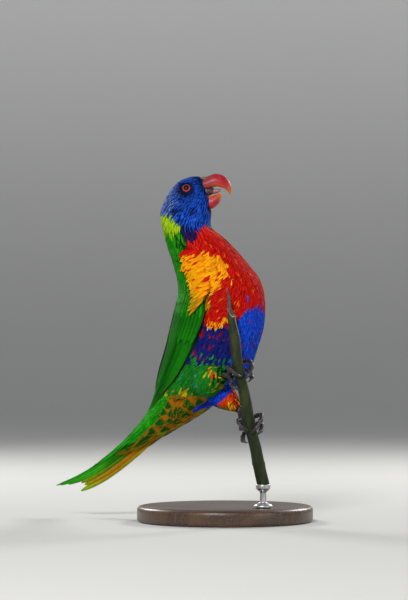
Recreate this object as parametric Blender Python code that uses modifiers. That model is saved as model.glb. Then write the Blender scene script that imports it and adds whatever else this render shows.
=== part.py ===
"""Rainbow lorikeet, life size, clinging to a cut stem on a plain display stand.

Sizes are millimetres until a mesh is made. +Z is up, the camera's side is -Y, and the origin is
the centre of the stand's underside. The body is one stack of sections from crown to tail tip.
Every feather, lid and leg is placed on those sections, so a change to them carries through.
"""

import math

import bmesh
import bpy
import numpy as np

MM = 0.001
GAP = 0.3
GAP_STEP = 0.16
SLIVER = 0.02

# Body sections from crown to tail tip
# Each row: height Z, centre X, centre Y, half depth, half width, yaw, tilt, roll (degrees).
# Yaw turns the belly from +X towards the camera. Tilt leans a section towards the tail.
SECTION_ROWS = {
    "crown": (258.6, -21.4, 11.0, 4.5, 5.0, 8, 0, 0),
    "crown_low": (256.4, -23.4, 11.0, 8.8, 8.6, 8, 0, 0),
    "brow": (253.2, -25.4, 11.0, 11.6, 11.2, 8, 0, 0),
    "eye": (249.2, -27.0, 11.0, 13.9, 12.9, 8, 0, 0),
    "cheek": (244.0, -27.9, 11.0, 16.4, 14.0, 8, 0, 0),
    "jaw": (238.0, -28.6, 11.0, 18.5, 14.8, 9, 0, 0),
    "nape": (231.2, -29.4, 11.0, 19.4, 15.4, 11, 0, 0),
    "throat": (224.5, -29.4, 11.0, 18.7, 15.8, 14, 0, 0),
    "collar": (219.2, -28.0, 10.2, 19.2, 17.0, 18, 0, 0),
    "upper_breast": (213.2, -23.4, 8.5, 22.5, 19.5, 25, 0, 0),
    "shoulder": (204.2, -17.4, 6.0, 25.7, 23.0, 32, 0, 0),
    "breast": (193.0, -10.7, 3.5, 28.9, 26.0, 36, 0, 0),
    "mid_breast": (181.8, -4.9, 1.3, 32.0, 27.5, 38, 0, 0),
    "low_breast": (170.5, -2.2, 0.0, 32.9, 28.0, 38, 0, 0),
    "belly": (157.0, -2.1, 0.0, 33.7, 28.0, 38, 0, 0),
    "mid_belly": (143.5, -3.6, 0.6, 34.1, 27.0, 38, 0, 0),
    "low_belly": (130.0, -6.8, 2.0, 33.6, 25.5, 38, 0, 0),
    "hip": (112.8, -12.4, 5.5, 32.6, 24.0, 38, 4, 0),
    "vent": (102.6, -19.1, 9.5, 29.5, 21.5, 38, 5, 0),
    "low_vent": (93.4, -26.6, 14.0, 25.5, 18.5, 37, 7, 3),
    "crissum": (85.4, -34.1, 18.2, 21.6, 15.5, 36, 10, 6),
    "low_crissum": (79.0, -41.2, 22.2, 17.8, 13.0, 35, 14, 9),
    "tail_base": (73.0, -48.8, 26.5, 14.2, 11.0, 33, 20, 13),
    "tail_root": (66.2, -57.1, 31.2, 10.2, 9.6, 32, 30, 16),
    "tail_first": (52.4, -73.5, 40.2, 5.4, 8.6, 30, 44, 20),
    "tail_second": (37.6, -93.5, 51.4, 2.6, 8.0, 30, 52, 22),
    "tail_third": (28.0, -111.5, 61.8, 1.4, 8.0, 30, 57, 24),
    "tail_tip": (21.4, -129.2, 71.9, 0.6, 8.0, 30, 62, 26),
}
SECTION_NAMES = list(SECTION_ROWS)
SECTIONS = np.array(list(SECTION_ROWS.values()), float)
BODY_FULLNESS = 2.15
HEAD_CUT = SECTION_NAMES.index("nape") + 0.3
NECK_CUT = SECTION_NAMES.index("upper_breast")
TORSO_END = SECTION_NAMES.index("tail_root")
BODY_SIDES = 26

# Eye, lids and nostrils
EYE_RADIUS = 3.7
EYE_SECTION = SECTION_NAMES.index("eye") - 0.2
EYE_ANGLE = 92.0
EYE_DEPTH = 2.7
LID_RADIUS = 3.45
LID_THICKNESS = 0.75
LID_SIDES = 14
SECTION_STEP_AT_EYE = 4.6
HEAD_RADIUS_AT_EYE = 13.4
NOSTRIL_RADIUS = 0.75
NOSTRIL_SPREAD = 3.2

# Bill profiles in the head's own upright plane
# Each row: X and Z of the top, X and Z of the bottom, half width.
UPPER_BILL = (
    (-19.5, 256.6, -18.0, 248.0, 5.7),
    (-11.3, 259.9, -10.5, 249.6, 5.9),
    (-6.8, 261.0, -6.2, 250.5, 5.5),
    (-2.3, 260.1, -2.9, 249.6, 4.8),
    (1.3, 257.6, -0.6, 249.2, 3.9),
    (3.8, 254.0, 1.2, 248.0, 2.8),
    (4.8, 250.0, 2.5, 246.8, 1.6),
    (4.4, 245.8, 3.6, 245.5, 0.4),
)
LOWER_BILL = (
    (-19.0, 245.6, -17.5, 235.0, 4.5),
    (-12.0, 245.0, -10.5, 234.4, 4.8),
    (-8.6, 245.6, -6.6, 236.6, 4.2),
    (-5.6, 246.4, -3.9, 239.8, 3.0),
    (-3.1, 246.6, -2.7, 245.2, 0.8),
)
TONGUE = ((-17.0, 246.9, 1.9), (-11.0, 247.2, 1.8), (-6.5, 247.8, 1.5), (-3.4, 248.9, 0.8))
BILL_PLANE_Y = 8.9
RIDGE = 0.2
CERE_CENTRE = (-15.4, 257.0)
CERE_RADII = (3.2, 5.2, 2.0)

# Perch: height Z, X, Y, radius
PERCH_ROWS = (
    (30.0, 28.0, -32.0, 4.9),
    (44.0, 24.8, -33.6, 4.75),
    (57.3, 22.2, -35.2, 4.6),
    (73.0, 18.2, -37.3, 4.5),
    (94.0, 14.6, -39.2, 4.4),
    (115.0, 9.7, -40.2, 4.2),
    (136.0, 7.0, -40.0, 4.0),
    (149.5, 5.0, -39.6, 3.4),
    (155.0, 4.4, -39.4, 3.1),
    (160.0, 3.1, -39.1, 1.7),
    (167.0, 2.6, -38.8, 1.3),
    (175.0, 1.2, -38.2, 0.45),
)
PERCH_SIDES = 12

# Stand
BASE_RADIUS = 66.0
BASE_HEIGHT = 12.0
ROD_RADIUS = 2.4
ROD_COLLAR = 5.4
ROD_FOOT = 7.0

# Wing: where its two edges lie round the body, at each section from shoulder to tip
WING_SECTIONS = (10.4, 11.0, 12.0, 13.0, 14.0, 15.0, 16.0, 17.0, 18.0, 19.0, 20.0, 21.0, 21.8)
WING_LOW_EDGE = (96.0, 93.0, 90.0, 84.0, 78.0, 82.0, 86.0, 97.0, 106.0, 115.0, 124.0, 134.0, 144.0)
WING_TOP_EDGE = (138.0, 148.0, 158.0, 165.0, 169.0, 171.0, 172.0, 173.0, 173.0, 173.0, 173.0, 172.0, 170.0)
WING_RISE = (-0.6, -0.7, -0.5, 0.9, 4.2, 6.2, 6.8, 6.8, 5.6, 4.4, 3.3, 2.4, 2.0)
WING_BED = (1.6, 2.8, 3.2, 3.0, 2.0, 1.0, 0.5, 0.3, 0.0, 0.0, 0.0, 0.0, 0.0)
PLATE_SINK = 3.0
PLATE_START = 10.6
PLATE_END = 17.6

# Each tier of wing feathers: count, root section and share across, tip section and share across
# at the low and the top end of the tier, half width, thickness, height of root and of tip.
WING_TIERS = {
    "primaries": (7, (15.2, 0.10), (15.0, 0.46), (21.6, 0.30), (18.6, 0.50), 3.9, 1.0, -2.1, -0.6),
    "secondaries": (6, (14.2, 0.46), (13.4, 0.86), (17.8, 0.40), (18.9, 0.84), 4.6, 1.0, -1.5, 0.0),
    "greater_coverts": (7, (12.9, 0.12), (12.4, 0.88), (15.4, 0.12), (15.3, 0.86), 4.1, 1.0, -1.2, 0.3),
    "median_coverts": (6, (12.0, 0.14), (11.6, 0.88), (14.0, 0.14), (13.9, 0.86), 4.0, 1.0, -0.9, 0.4),
    "lesser_coverts": (5, (11.1, 0.18), (10.9, 0.86), (12.8, 0.16), (12.7, 0.86), 4.2, 1.0, -0.7, 0.4),
}
VANE_STEPS = {"primaries": 6, "secondaries": 5}
TIER_STAGGER = 0.10
WING_LEAN = 7.0

# Tail: one row for each pair of tail feathers, from the middle pair outwards
# The folded tail is arched like a roof, so each pair also hangs and leans more than the last.
# Each row: tip section, side offset at the root and at the tip, drop at the tip, lean.
TAIL_PAIRS = (
    (26.95, 1.2, 1.5, 0.0, 8.0),
    (26.65, 2.0, 2.8, 1.1, 12.0),
    (26.35, 2.8, 4.4, 2.4, 16.0),
    (26.1, 3.6, 7.6, 5.2, 20.0),
    (25.65, 4.3, 7.5, 5.2, 24.0),
    (25.15, 5.0, 7.2, 5.2, 28.0),
)
TAIL_LIFT = 0.72
TAIL_ROOT_SECTION = 22.6
TAIL_HALF_WIDTH = 4.4
TAIL_THICKNESS = 1.0
TAIL_BLOCK_END = 23.9

# Legs: hip inside the body, ankle near the perch, radii at even steps between them
THIGH_RIGHT = ((-17.0, -9.0, 105.0), (-0.5, -32.0, 110.5), (11.0, 13.2, 12.6, 10.0, 6.6, 3.6))
THIGH_LEFT = ((-9.0, 0.0, 100.0), (10.6, -28.6, 85.5), (9.0, 10.4, 9.8, 8.0, 5.6, 3.4))
TARSUS_RADIUS = 2.3
TARSUS_SUNK = 0.16
PALM_RADIUS = 3.1

# Toes: angle round the perch, distance from its centre line, height above the foot's centre.
# Angle 0 is +X, 90 the camera's side, 180 -X. The last two rows of each are the claw.
TOES = {
    "third": ((0, 6.9, 2), (48, 7.6, 6), (98, 8.8, 9.5), (140, 9.9, 10), (172, 10.0, 6),
              (198, 8.6, 1), (220, 6.8, -2), (238, 5.7, -3.4)),
    "second": ((5, 6.9, -1), (52, 7.1, 1), (102, 7.6, 3.5), (145, 8.7, 2.6), (174, 8.4, -1.4),
               (196, 7.0, -4), (212, 5.9, -5)),
    "fourth": ((-6, 6.9, 2), (-30, 7.7, 6), (-60, 8.0, 4.4), (-84, 7.5, 1.2),
               (-102, 6.6, -0.4), (-118, 5.8, -0.6)),
    "first": ((0, 6.9, -3), (-22, 7.8, -6.4), (-46, 7.9, -8.6), (-66, 6.9, -10), (-84, 6.0, -10.4)),
}
TOE_RADIUS = 1.75
CLAW_RADIUS = 1.0
FOOT_RIGHT = (196.0, 110.5)
FOOT_LEFT = (222.0, 71.0)

COLOURS = {
    "blue": (0.05, 0.10, 0.55, 0.65, 0.0),
    "dark_green": (0.03, 0.25, 0.04, 0.6, 0.0),
    "red": (0.62, 0.04, 0.02, 0.65, 0.0),
    "tail_green": (0.05, 0.30, 0.05, 0.6, 0.0),
    "thigh_green": (0.04, 0.22, 0.04, 0.7, 0.0),
    "skin_grey": (0.13, 0.12, 0.12, 0.6, 0.0),
    "bill_red": (0.70, 0.10, 0.05, 0.35, 0.0),
    "tongue_grey": (0.25, 0.14, 0.13, 0.5, 0.0),
    "iris_red": (0.65, 0.06, 0.03, 0.1, 0.0),
    "stem_green": (0.10, 0.16, 0.05, 0.6, 0.0),
    "stand_wood": (0.05, 0.03, 0.02, 0.4, 0.0),
    "stand_steel": (0.30, 0.30, 0.31, 0.3, 1.0),
}


def clear_scene():
    for obj in list(bpy.data.objects):
        bpy.data.objects.remove(obj, do_unlink=True)


def collection_named(name):
    made = bpy.data.collections.new(name)
    bpy.context.scene.collection.children.link(made)
    return made


def material_named(name):
    found = bpy.data.materials.get(name)
    if found:
        return found
    red, green, blue, roughness, metallic = COLOURS[name]
    made = bpy.data.materials.new(name)
    made.use_nodes = True
    shader = made.node_tree.nodes["Principled BSDF"]
    shader.inputs["Base Color"].default_value = (red, green, blue, 1.0)
    shader.inputs["Roughness"].default_value = roughness
    shader.inputs["Metallic"].default_value = metallic
    return made


def smooth_row(rows, place):
    """A row of values read at a real place along the rows, on a Catmull-Rom curve."""
    rows = np.asarray(rows, float)
    place = min(max(place, 0.0), len(rows) - 1.0)
    low = min(int(place), len(rows) - 2)
    t = place - low
    before = rows[max(low - 1, 0)]
    start, end = rows[low], rows[low + 1]
    after = rows[min(low + 2, len(rows) - 1)]
    rise_in = (end - before) / 2
    rise_out = (after - start) / 2
    return (
        (2 * t**3 - 3 * t**2 + 1) * start
        + (t**3 - 2 * t**2 + t) * rise_in
        + (3 * t**2 - 2 * t**3) * end
        + (t**3 - t**2) * rise_out
    )


def unit(vector):
    return np.asarray(vector, float) / np.linalg.norm(vector)


def body_frame(place):
    """Centre, belly direction, right-hand direction, half depth and half width at a section."""
    height, x, y, depth, width, yaw, tilt, roll = smooth_row(SECTIONS, place)
    yaw, tilt, roll = math.radians(yaw), math.radians(tilt), math.radians(roll)
    forward = np.array([math.cos(yaw), -math.sin(yaw), 0.0])
    right = np.array([-math.sin(yaw), -math.cos(yaw), 0.0])
    belly = math.cos(tilt) * forward - math.sin(tilt) * np.array([0.0, 0.0, 1.0])
    rolled_right = math.cos(roll) * right - math.sin(roll) * belly
    rolled_belly = math.sin(roll) * right + math.cos(roll) * belly
    return np.array([x, y, height]), rolled_belly, rolled_right, depth, width


def body_point(place, angle, rise=0.0):
    """A point on the body: angle 0 is the belly, 90 its right side and 180 its back."""
    centre, belly, right, depth, width = body_frame(place)
    turn = math.radians(angle)
    c, s = math.cos(turn), math.sin(turn)
    power = 2.0 / BODY_FULLNESS
    along = math.copysign(abs(c) ** power, c)
    across = math.copysign(abs(s) ** power, s)
    outward = unit(belly * c / depth + right * s / width)
    return centre + belly * depth * along + right * width * across + outward * rise


def body_outward(place, angle):
    """The body's outward normal at a point, with the slope along the body taken in."""
    along = body_point(place + 0.1, angle) - body_point(place - 0.1, angle)
    around = body_point(place, angle + 2.0) - body_point(place, angle - 2.0)
    normal = unit(np.cross(along, around))
    outside = body_point(place, angle, 1.0) - body_point(place, angle)
    return normal if np.dot(normal, outside) > 0 else -normal


def mesh_object(name, points, faces, collection, material):
    """A closed mesh object from millimetre points, with its faces turned outwards."""
    mesh = bpy.data.meshes.new(name)
    mesh.from_pydata([tuple(float(v) * MM for v in p) for p in points], [], faces)
    made = bmesh.new()
    made.from_mesh(mesh)
    bmesh.ops.remove_doubles(made, verts=made.verts, dist=0.00001)
    bmesh.ops.triangulate(made, faces=made.faces)
    bmesh.ops.recalc_face_normals(made, faces=made.faces)
    made.to_mesh(mesh)
    made.free()
    mesh.materials.append(material_named(material))
    mesh.shade_smooth()
    mesh.set_sharp_from_angle(angle=math.radians(38))
    obj = bpy.data.objects.new(name, mesh)
    collection.objects.link(obj)
    return obj


def ring_mesh(name, rings, collection, material):
    """A skin over rings with the same number of points, closed at both ends."""
    sides = len(rings[0])
    points = [p for ring in rings for p in ring]
    faces = []
    for row in range(len(rings) - 1):
        for side in range(sides):
            a = row * sides + side
            b = row * sides + (side + 1) % sides
            faces.append((a, b, b + sides, a + sides))
    faces.append(tuple(reversed(range(sides))))
    last = (len(rings) - 1) * sides
    faces.append(tuple(range(last, last + sides)))
    return mesh_object(name, points, faces, collection, material)


def wing_bed(place, angle):
    """How far the body sinks under a folded wing, so that the wing's shoulder lies flush."""
    turn = abs((angle + 180.0) % 360.0 - 180.0)
    edge = min(turn - read_wing(WING_LOW_EDGE, place), read_wing(WING_TOP_EDGE, place) - turn) + 8.0
    along = min(place - WING_SECTIONS[0] + 0.5, WING_SECTIONS[7] - place)
    return read_wing(WING_BED, place) * min(max(edge / 12.0, 0.0), 1.0) * min(max(along, 0.0), 1.0)


def body_loft(name, start, end, steps, collection, material):
    rings = []
    for place in np.linspace(start, end, steps):
        angles = np.arange(BODY_SIDES) * 360.0 / BODY_SIDES
        rings.append([body_point(place, a, -wing_bed(place, a)) for a in angles])
    if start == 0:
        pole = body_point(0, 0) * 0.5 + body_point(0, 180) * 0.5 + np.array([0, 0, 0.7])
        shrunk = [pole + (p - pole) * 0.45 for p in rings[0]]
        for p in shrunk:
            p[2] = pole[2] - 0.15
        rings.insert(0, shrunk)
    return ring_mesh(name, rings, collection, material)


def tube_mesh(name, points, radii, resolution, collection, material):
    """A bevelled curve with its own radius at each point, turned into a closed mesh object."""
    curve = bpy.data.curves.new(name, "CURVE")
    curve.dimensions = "3D"
    curve.bevel_depth = MM
    curve.bevel_resolution = resolution
    curve.use_fill_caps = True
    spline = curve.splines.new("POLY")
    spline.points.add(len(points) - 1)
    for knot, point, radius in zip(spline.points, points, radii):
        knot.co = (*(float(v) * MM for v in point), 1.0)
        knot.radius = float(radius)
    guide = bpy.data.objects.new(name + "_curve", curve)
    CUTTERS.objects.link(guide)
    graph = bpy.context.evaluated_depsgraph_get()
    mesh = bpy.data.meshes.new_from_object(guide.evaluated_get(graph))
    bpy.data.objects.remove(guide, do_unlink=True)
    made = bmesh.new()
    made.from_mesh(mesh)
    bmesh.ops.remove_doubles(made, verts=made.verts, dist=0.00001)
    bmesh.ops.triangulate(made, faces=made.faces)
    bmesh.ops.recalc_face_normals(made, faces=made.faces)
    made.to_mesh(mesh)
    made.free()
    mesh.materials.clear()
    mesh.materials.append(material_named(material))
    mesh.shade_smooth()
    mesh.set_sharp_from_angle(angle=math.radians(38))
    obj = bpy.data.objects.new(name, mesh)
    collection.objects.link(obj)
    return obj


def sphere_mesh(name, centre, radius, collection, material, segments=16, rings=10):
    made = bmesh.new()
    bmesh.ops.create_uvsphere(made, u_segments=segments, v_segments=rings, radius=radius)
    points = [np.array(v.co) + np.asarray(centre, float) for v in made.verts]
    faces = [tuple(v.index for v in f.verts) for f in made.faces]
    made.free()
    return mesh_object(name, points, faces, collection, material)


def boolean(obj, operation, helpers, solver="EXACT"):
    """Joins or cuts obj with a collection of closed meshes, applies it and removes the helpers."""
    group = bpy.data.collections.new(obj.name + "_" + operation.lower())
    bpy.context.scene.collection.children.link(group)
    for helper in helpers:
        for owner in list(helper.users_collection):
            owner.objects.unlink(helper)
        group.objects.link(helper)
    modifier = obj.modifiers.new(operation.lower(), "BOOLEAN")
    modifier.operation = operation
    modifier.operand_type = "COLLECTION"
    modifier.collection = group
    modifier.solver = solver
    graph = bpy.context.evaluated_depsgraph_get()
    graph.update()
    mesh = bpy.data.meshes.new_from_object(obj.evaluated_get(graph))
    obj.modifiers.remove(modifier)
    obj.data = mesh
    for helper in list(group.objects):
        bpy.data.objects.remove(helper, do_unlink=True)
    bpy.data.collections.remove(group)
    keep_largest(obj)


def close_slivers(made):
    """Draws together the ends of very short edges, wherever the surface stays closed."""
    for _ in range(6):
        taken, targets = set(), {}
        for edge in made.edges:
            if edge.calc_length() > SLIVER * MM:
                continue
            start, end = edge.verts
            near_start = {e.other_vert(start) for e in start.link_edges}
            near_end = {e.other_vert(end) for e in end.link_edges}
            zone = near_start | near_end
            if len(near_start & near_end) == 2 and not zone & taken:
                taken |= zone
                targets[start] = end
        if not targets:
            return
        bmesh.ops.weld_verts(made, targetmap=targets)


def keep_largest(obj):
    """Keeps the largest closed surface, so that loose scraps and sealed hollows go."""
    made = bmesh.new()
    made.from_mesh(obj.data)
    bmesh.ops.triangulate(made, faces=made.faces)
    close_slivers(made)
    left = set(made.faces)
    shells = []
    while left:
        shell, queue = set(), [next(iter(left))]
        while queue:
            face = queue.pop()
            if face in shell:
                continue
            shell.add(face)
            queue.extend(f for e in face.edges for f in e.link_faces if f not in shell)
        left -= shell
        shells.append(shell)
    shells.sort(key=lambda shell: sum(f.calc_area() for f in shell))
    for shell in shells[:-1]:
        bmesh.ops.delete(made, geom=list(shell), context="FACES")
    made.to_mesh(obj.data)
    made.free()
    obj.data.set_sharp_from_angle(angle=math.radians(38))


def swollen(obj, by=GAP):
    """A copy of a smooth closed object, its surface moved outwards, to cut its neighbours with."""
    mesh = obj.data.copy()
    made = bmesh.new()
    made.from_mesh(mesh)
    made.normal_update()
    shifts = [(v, v.normal.copy() * by * MM) for v in made.verts]
    for vertex, shift in shifts:
        vertex.co += shift
    made.to_mesh(mesh)
    made.free()
    copy = bpy.data.objects.new(obj.name + "_swollen", mesh)
    CUTTERS.objects.link(copy)
    return copy


def fit_against(obj, *neighbours):
    boolean(obj, "DIFFERENCE", [swollen(n) for n in neighbours])


def vane_mesh(name, path, half_width, thickness, steps, collection, material, lean=0.0):
    """One feather vane. path(t) gives a point, the direction across and the outward direction.

    The vane is full in its middle, rounded at its tip, narrow at its root and thin at its edges.
    lean lifts one of the edges, so that each vane lies over the next like a tile.
    """
    rings = []
    for t in np.linspace(0.0, 1.0, steps):
        point, across, outward = path(t)
        width = half_width * (0.55 + 0.45 * min(1.0, t / 0.3))
        width *= math.sqrt(max(1.0 - max(0.0, (t - 0.62) / 0.385) ** 2, 0.0))
        width = max(width, 0.45)
        turn = math.radians(lean)
        side = math.cos(turn) * across + math.sin(turn) * outward
        top = math.cos(turn) * outward - math.sin(turn) * across
        half = thickness / 2 * (1.0 if t < 0.95 else 0.7)
        outline = ((-1, 0.0), (0, half + 0.1 * width), (1, 0.0), (0, -half))
        rings.append([point + side * width * u + top * v for u, v in outline])
    return ring_mesh(name, rings, collection, material)


def read_wing(values, place):
    return float(np.interp(place, WING_SECTIONS, values))


def wing_point(place, share, rise, side):
    """A point of the folded wing: share 0 is its low edge and 1 its top edge."""
    low = read_wing(WING_LOW_EDGE, place)
    top = read_wing(WING_TOP_EDGE, place)
    angle = side * (low + share * (top - low))
    return body_point(place, angle, read_wing(WING_RISE, place) + rise)


def wing_frame(place, share, rise, side):
    point = wing_point(place, share, rise, side)
    across = unit(wing_point(place, share + 0.05, rise, side) - point)
    ahead = unit(wing_point(min(place + 0.1, 21.8), share, rise, side) - point)
    outward = unit(np.cross(across, ahead))
    if np.dot(outward, wing_point(place, share, rise + 1.0, side) - point) < 0:
        outward = -outward
    return point, across, outward


def wing_plate(side, collection, material):
    """The arm of the folded wing with its short feathers: a curved plate on the body's side."""
    outer_shares = np.linspace(0.03, 0.97, 7)
    rings = []
    for place in np.linspace(PLATE_START, PLATE_END, 9):
        end = min((place - PLATE_START) / 1.0, (PLATE_END - place) / 1.4, 1.0)
        rise = float(np.interp(place, (11.5, 13.5), (-0.9, -1.4))) - 1.2 * (1.0 - end) ** 2
        thick = max(read_wing(WING_RISE, place) + rise + PLATE_SINK, 0.8)
        ring = []
        for share in outer_shares:
            edge = 1.0 - abs(2 * share - 1) ** 4
            ring.append(wing_point(place, share, rise - (1 - edge) * 0.5 * thick, side))
        for share in outer_shares[::-1]:
            ring.append(wing_point(place, share, rise - thick, side))
        rings.append(ring)
    return ring_mesh("plate", rings, collection, material)


def wing_tier(tier, side, collection, material):
    count, root_low, root_top, tip_low, tip_top, half_width, thickness, root_rise, tip_rise = WING_TIERS[tier]
    made = []
    for number in range(count):
        across_tier = number / (count - 1)
        root = np.array(root_low) * (1 - across_tier) + np.array(root_top) * across_tier
        tip = np.array(tip_low) * (1 - across_tier) + np.array(tip_top) * across_tier
        if tier not in VANE_STEPS:
            tip[0] += TIER_STAGGER * (-1) ** number

        def path(t, root=root, tip=tip):
            place, share = root * (1 - t) + tip * t
            rise = root_rise + (tip_rise - root_rise) * t**0.6
            return wing_frame(place, share, rise, side)

        steps = VANE_STEPS.get(tier, 4)
        made.append(vane_mesh(f"{tier}_{number}", path, half_width, thickness, steps, collection, material,
                              lean=-side * WING_LEAN))
    return made


def build_wing(name, side):
    """side is 1 for the bird's right wing and -1 for its left."""
    plate = wing_plate(side, PARTS, "dark_green")
    plate.name = name
    vanes = [v for tier in WING_TIERS for v in wing_tier(tier, side, CUTTERS, "dark_green")]
    boolean(plate, "UNION", vanes, "MANIFOLD")
    return plate


def tail_frame(place, offset, drop):
    centre, belly, right, _, _ = body_frame(place)
    ahead = unit(body_frame(min(place + 0.1, 27.0))[0] - body_frame(place - 0.1)[0])
    across = unit(right - ahead * np.dot(right, ahead))
    down = unit(np.cross(across, ahead))
    if np.dot(down, belly) < 0:
        down = -down
    return centre + across * offset + down * drop, across, -down


def tail_feather(number, side):
    tip, root_offset, tip_offset, drop, lean = TAIL_PAIRS[number]

    def path(t):
        place = TAIL_ROOT_SECTION + (tip - TAIL_ROOT_SECTION) * t
        offset = side * (root_offset + (tip_offset - root_offset) * t**1.2)
        lift = TAIL_LIFT * body_frame(place)[3]
        return tail_frame(place, offset, drop * (0.3 + 0.7 * t**1.3) + 0.4 * (side < 0) - lift)

    return vane_mesh(f"tail_feather_{number}_{side}", path, TAIL_HALF_WIDTH - 0.2 * number, TAIL_THICKNESS,
                     6 - (number > 2), CUTTERS, "tail_green", lean=-side * lean)


def tail_covert(number, side, above):
    """The short feathers that overlap the roots of the tail, above and below."""
    tip = (24.9 - 0.28 * number) if above else (24.75 - 0.22 * number)

    def path(t):
        place = 22.9 + (tip - 22.9) * t
        _, _, _, depth, _ = body_frame(place)
        reach = depth - 0.8 if not above else (depth - 0.8) * (1 - t) + (TAIL_LIFT * depth + 1.0) * t
        offset = side * (0.6 + 2.3 * number) * (0.8 + 0.3 * t)
        drop = -reach + 0.6 * number if above else reach + 0.4 * t - 0.6 * number
        point, across, up = tail_frame(place, offset, drop)
        return point, across, up if above else -up

    return vane_mesh(f"tail_covert_{number}_{side}_{above}", path, 3.6, 1.0, 4, CUTTERS, "tail_green",
                     lean=-side * 6.0 * (number + 1) * (1 if above else -1))


def build_tail():
    """The feathered root of the tail, its twelve feathers in six pairs, and the coverts."""
    start = TORSO_END + GAP_STEP * 2 / np.linalg.norm(body_frame(TORSO_END + 1)[0] - body_frame(TORSO_END)[0])
    block = body_loft("tail", start, TAIL_BLOCK_END, 6, PARTS, "tail_green")
    vanes = [tail_feather(n, side) for n in range(len(TAIL_PAIRS)) for side in (1, -1)]
    vanes += [tail_covert(n, side, above) for n in range(3) for side in (1, -1) for above in (True, False)]
    boolean(block, "UNION", vanes, "MANIFOLD")
    return block


def bill_part(name, rows, collection, material):
    """A mandible, lofted along its own curve, with a narrower ridge above than below."""
    rows = np.array(rows, float)
    rings = []
    for place in np.linspace(0, len(rows) - 1, 2 * len(rows) - 1):
        top_x, top_z, low_x, low_z, half = smooth_row(rows, place)
        half = max(half, 0.3)
        top = np.array([top_x, BILL_PLANE_Y - (top_x + 12) * 0.14, top_z])
        low = np.array([low_x, BILL_PLANE_Y - (low_x + 12) * 0.14, low_z])
        middle, reach = (top + low) / 2, (top - low) / 2
        side = np.array([-0.139, -0.990, 0.0]) * half
        rings.append([middle + reach * math.cos(a) + side * math.sin(a) * (1 - RIDGE * math.cos(a))
                      for a in np.arange(12) * 2 * math.pi / 12])
    return ring_mesh(name, rings, collection, material)


def build_tongue():
    points = [(x, BILL_PLANE_Y - (x + 12) * 0.14, z) for x, z, _ in TONGUE]
    return tube_mesh("tongue", points, [r for _, _, r in TONGUE], 2, PARTS, "tongue_grey")


def eye_centre(side):
    return body_point(EYE_SECTION, side * EYE_ANGLE) - EYE_DEPTH * body_outward(EYE_SECTION, side * EYE_ANGLE)


def lid_ring(side):
    """The bare lid round the eye: a thin raised ring that follows the head's own surface."""
    middle = body_point(EYE_SECTION, side * EYE_ANGLE)
    rings = []
    for turn in np.arange(LID_SIDES) * 2 * math.pi / LID_SIDES:
        place = EYE_SECTION - math.sin(turn) * LID_RADIUS / SECTION_STEP_AT_EYE
        angle = side * (EYE_ANGLE + math.degrees(math.cos(turn) * LID_RADIUS / HEAD_RADIUS_AT_EYE))
        centre, outward = body_point(place, angle), body_outward(place, angle)
        spoke = centre - middle
        spoke = unit(spoke - outward * np.dot(spoke, outward))
        ring = []
        for roll in np.arange(5) * 2 * math.pi / 5:
            ring.append(centre + LID_THICKNESS * (spoke * math.cos(roll) + outward * math.sin(roll)))
        rings.append(ring)
    points = [p for ring in rings for p in ring]
    faces = []
    for row in range(LID_SIDES):
        after = (row + 1) % LID_SIDES
        for step in range(5):
            ahead = (step + 1) % 5
            faces.append((row * 5 + step, row * 5 + ahead, after * 5 + ahead, after * 5 + step))
    return mesh_object("lid", points, faces, CUTTERS, "blue")


def build_head():
    """Head with its lids, eye sockets, cere and nostrils."""
    half_gap = GAP_STEP / abs(SECTIONS[7][0] - SECTIONS[6][0])
    head = body_loft("head", 0, HEAD_CUT - half_gap, 12, PARTS, "blue")
    cere_centre = np.array([CERE_CENTRE[0], BILL_PLANE_Y + 0.5, CERE_CENTRE[1]])
    cere = sphere_mesh("cere", (0, 0, 0), 1.0, CUTTERS, "blue", 10, 6)
    for vertex in cere.data.vertices:
        local = np.array(vertex.co) / MM * np.array(CERE_RADII)
        vertex.co = (local + cere_centre) * MM
    boolean(head, "UNION", [lid_ring(1), lid_ring(-1), cere])
    sockets = [sphere_mesh("socket", eye_centre(s), EYE_RADIUS + GAP, CUTTERS, "blue", 14, 8) for s in (1, -1)]
    nostrils = []
    for side in (1, -1):
        mouth = cere_centre + np.array([1.4, -side * NOSTRIL_SPREAD, 1.6])
        nostrils.append(sphere_mesh("nostril", mouth, NOSTRIL_RADIUS, CUTTERS, "blue", 8, 6))
    boolean(head, "DIFFERENCE", sockets + nostrils)
    return head


def thigh(name, hip, ankle, radii, material):
    hip, ankle = np.array(hip), np.array(ankle)
    places = np.linspace(0, 1, 11)
    points = [hip + (ankle - hip) * t for t in places]
    sizes = [float(smooth_row(np.array(radii)[:, None], t * (len(radii) - 1))[0]) for t in places]
    return tube_mesh(name, points, sizes, 6, PARTS, material)


def perch_centre(height):
    rows = np.array(PERCH_ROWS)
    return np.array([np.interp(height, rows[:, 0], rows[:, 1]), np.interp(height, rows[:, 0], rows[:, 2]), height])


def build_perch():
    rows = np.array(PERCH_ROWS)
    places = np.concatenate([np.linspace(0, 7, 11), np.linspace(7.5, len(rows) - 1, 7)])
    rings = []
    for place in places:
        height, x, y, radius = smooth_row(rows, place)
        ridge = 1.0 + 0.05 * math.sin(place * 9.0)
        rings.append([
            np.array([x + radius * ridge * math.cos(a), y - radius * ridge * math.sin(a), height])
            for a in np.arange(PERCH_SIDES) * 2 * math.pi / PERCH_SIDES
        ])
    return ring_mesh("perch", rings, PARTS, "stem_green")


def toe_point(palm_angle, height, row):
    angle, reach, lift = row
    turn = math.radians(palm_angle + angle)
    centre = perch_centre(height + lift)
    return centre + reach * np.array([math.cos(turn), -math.sin(turn), 0.0])


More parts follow.
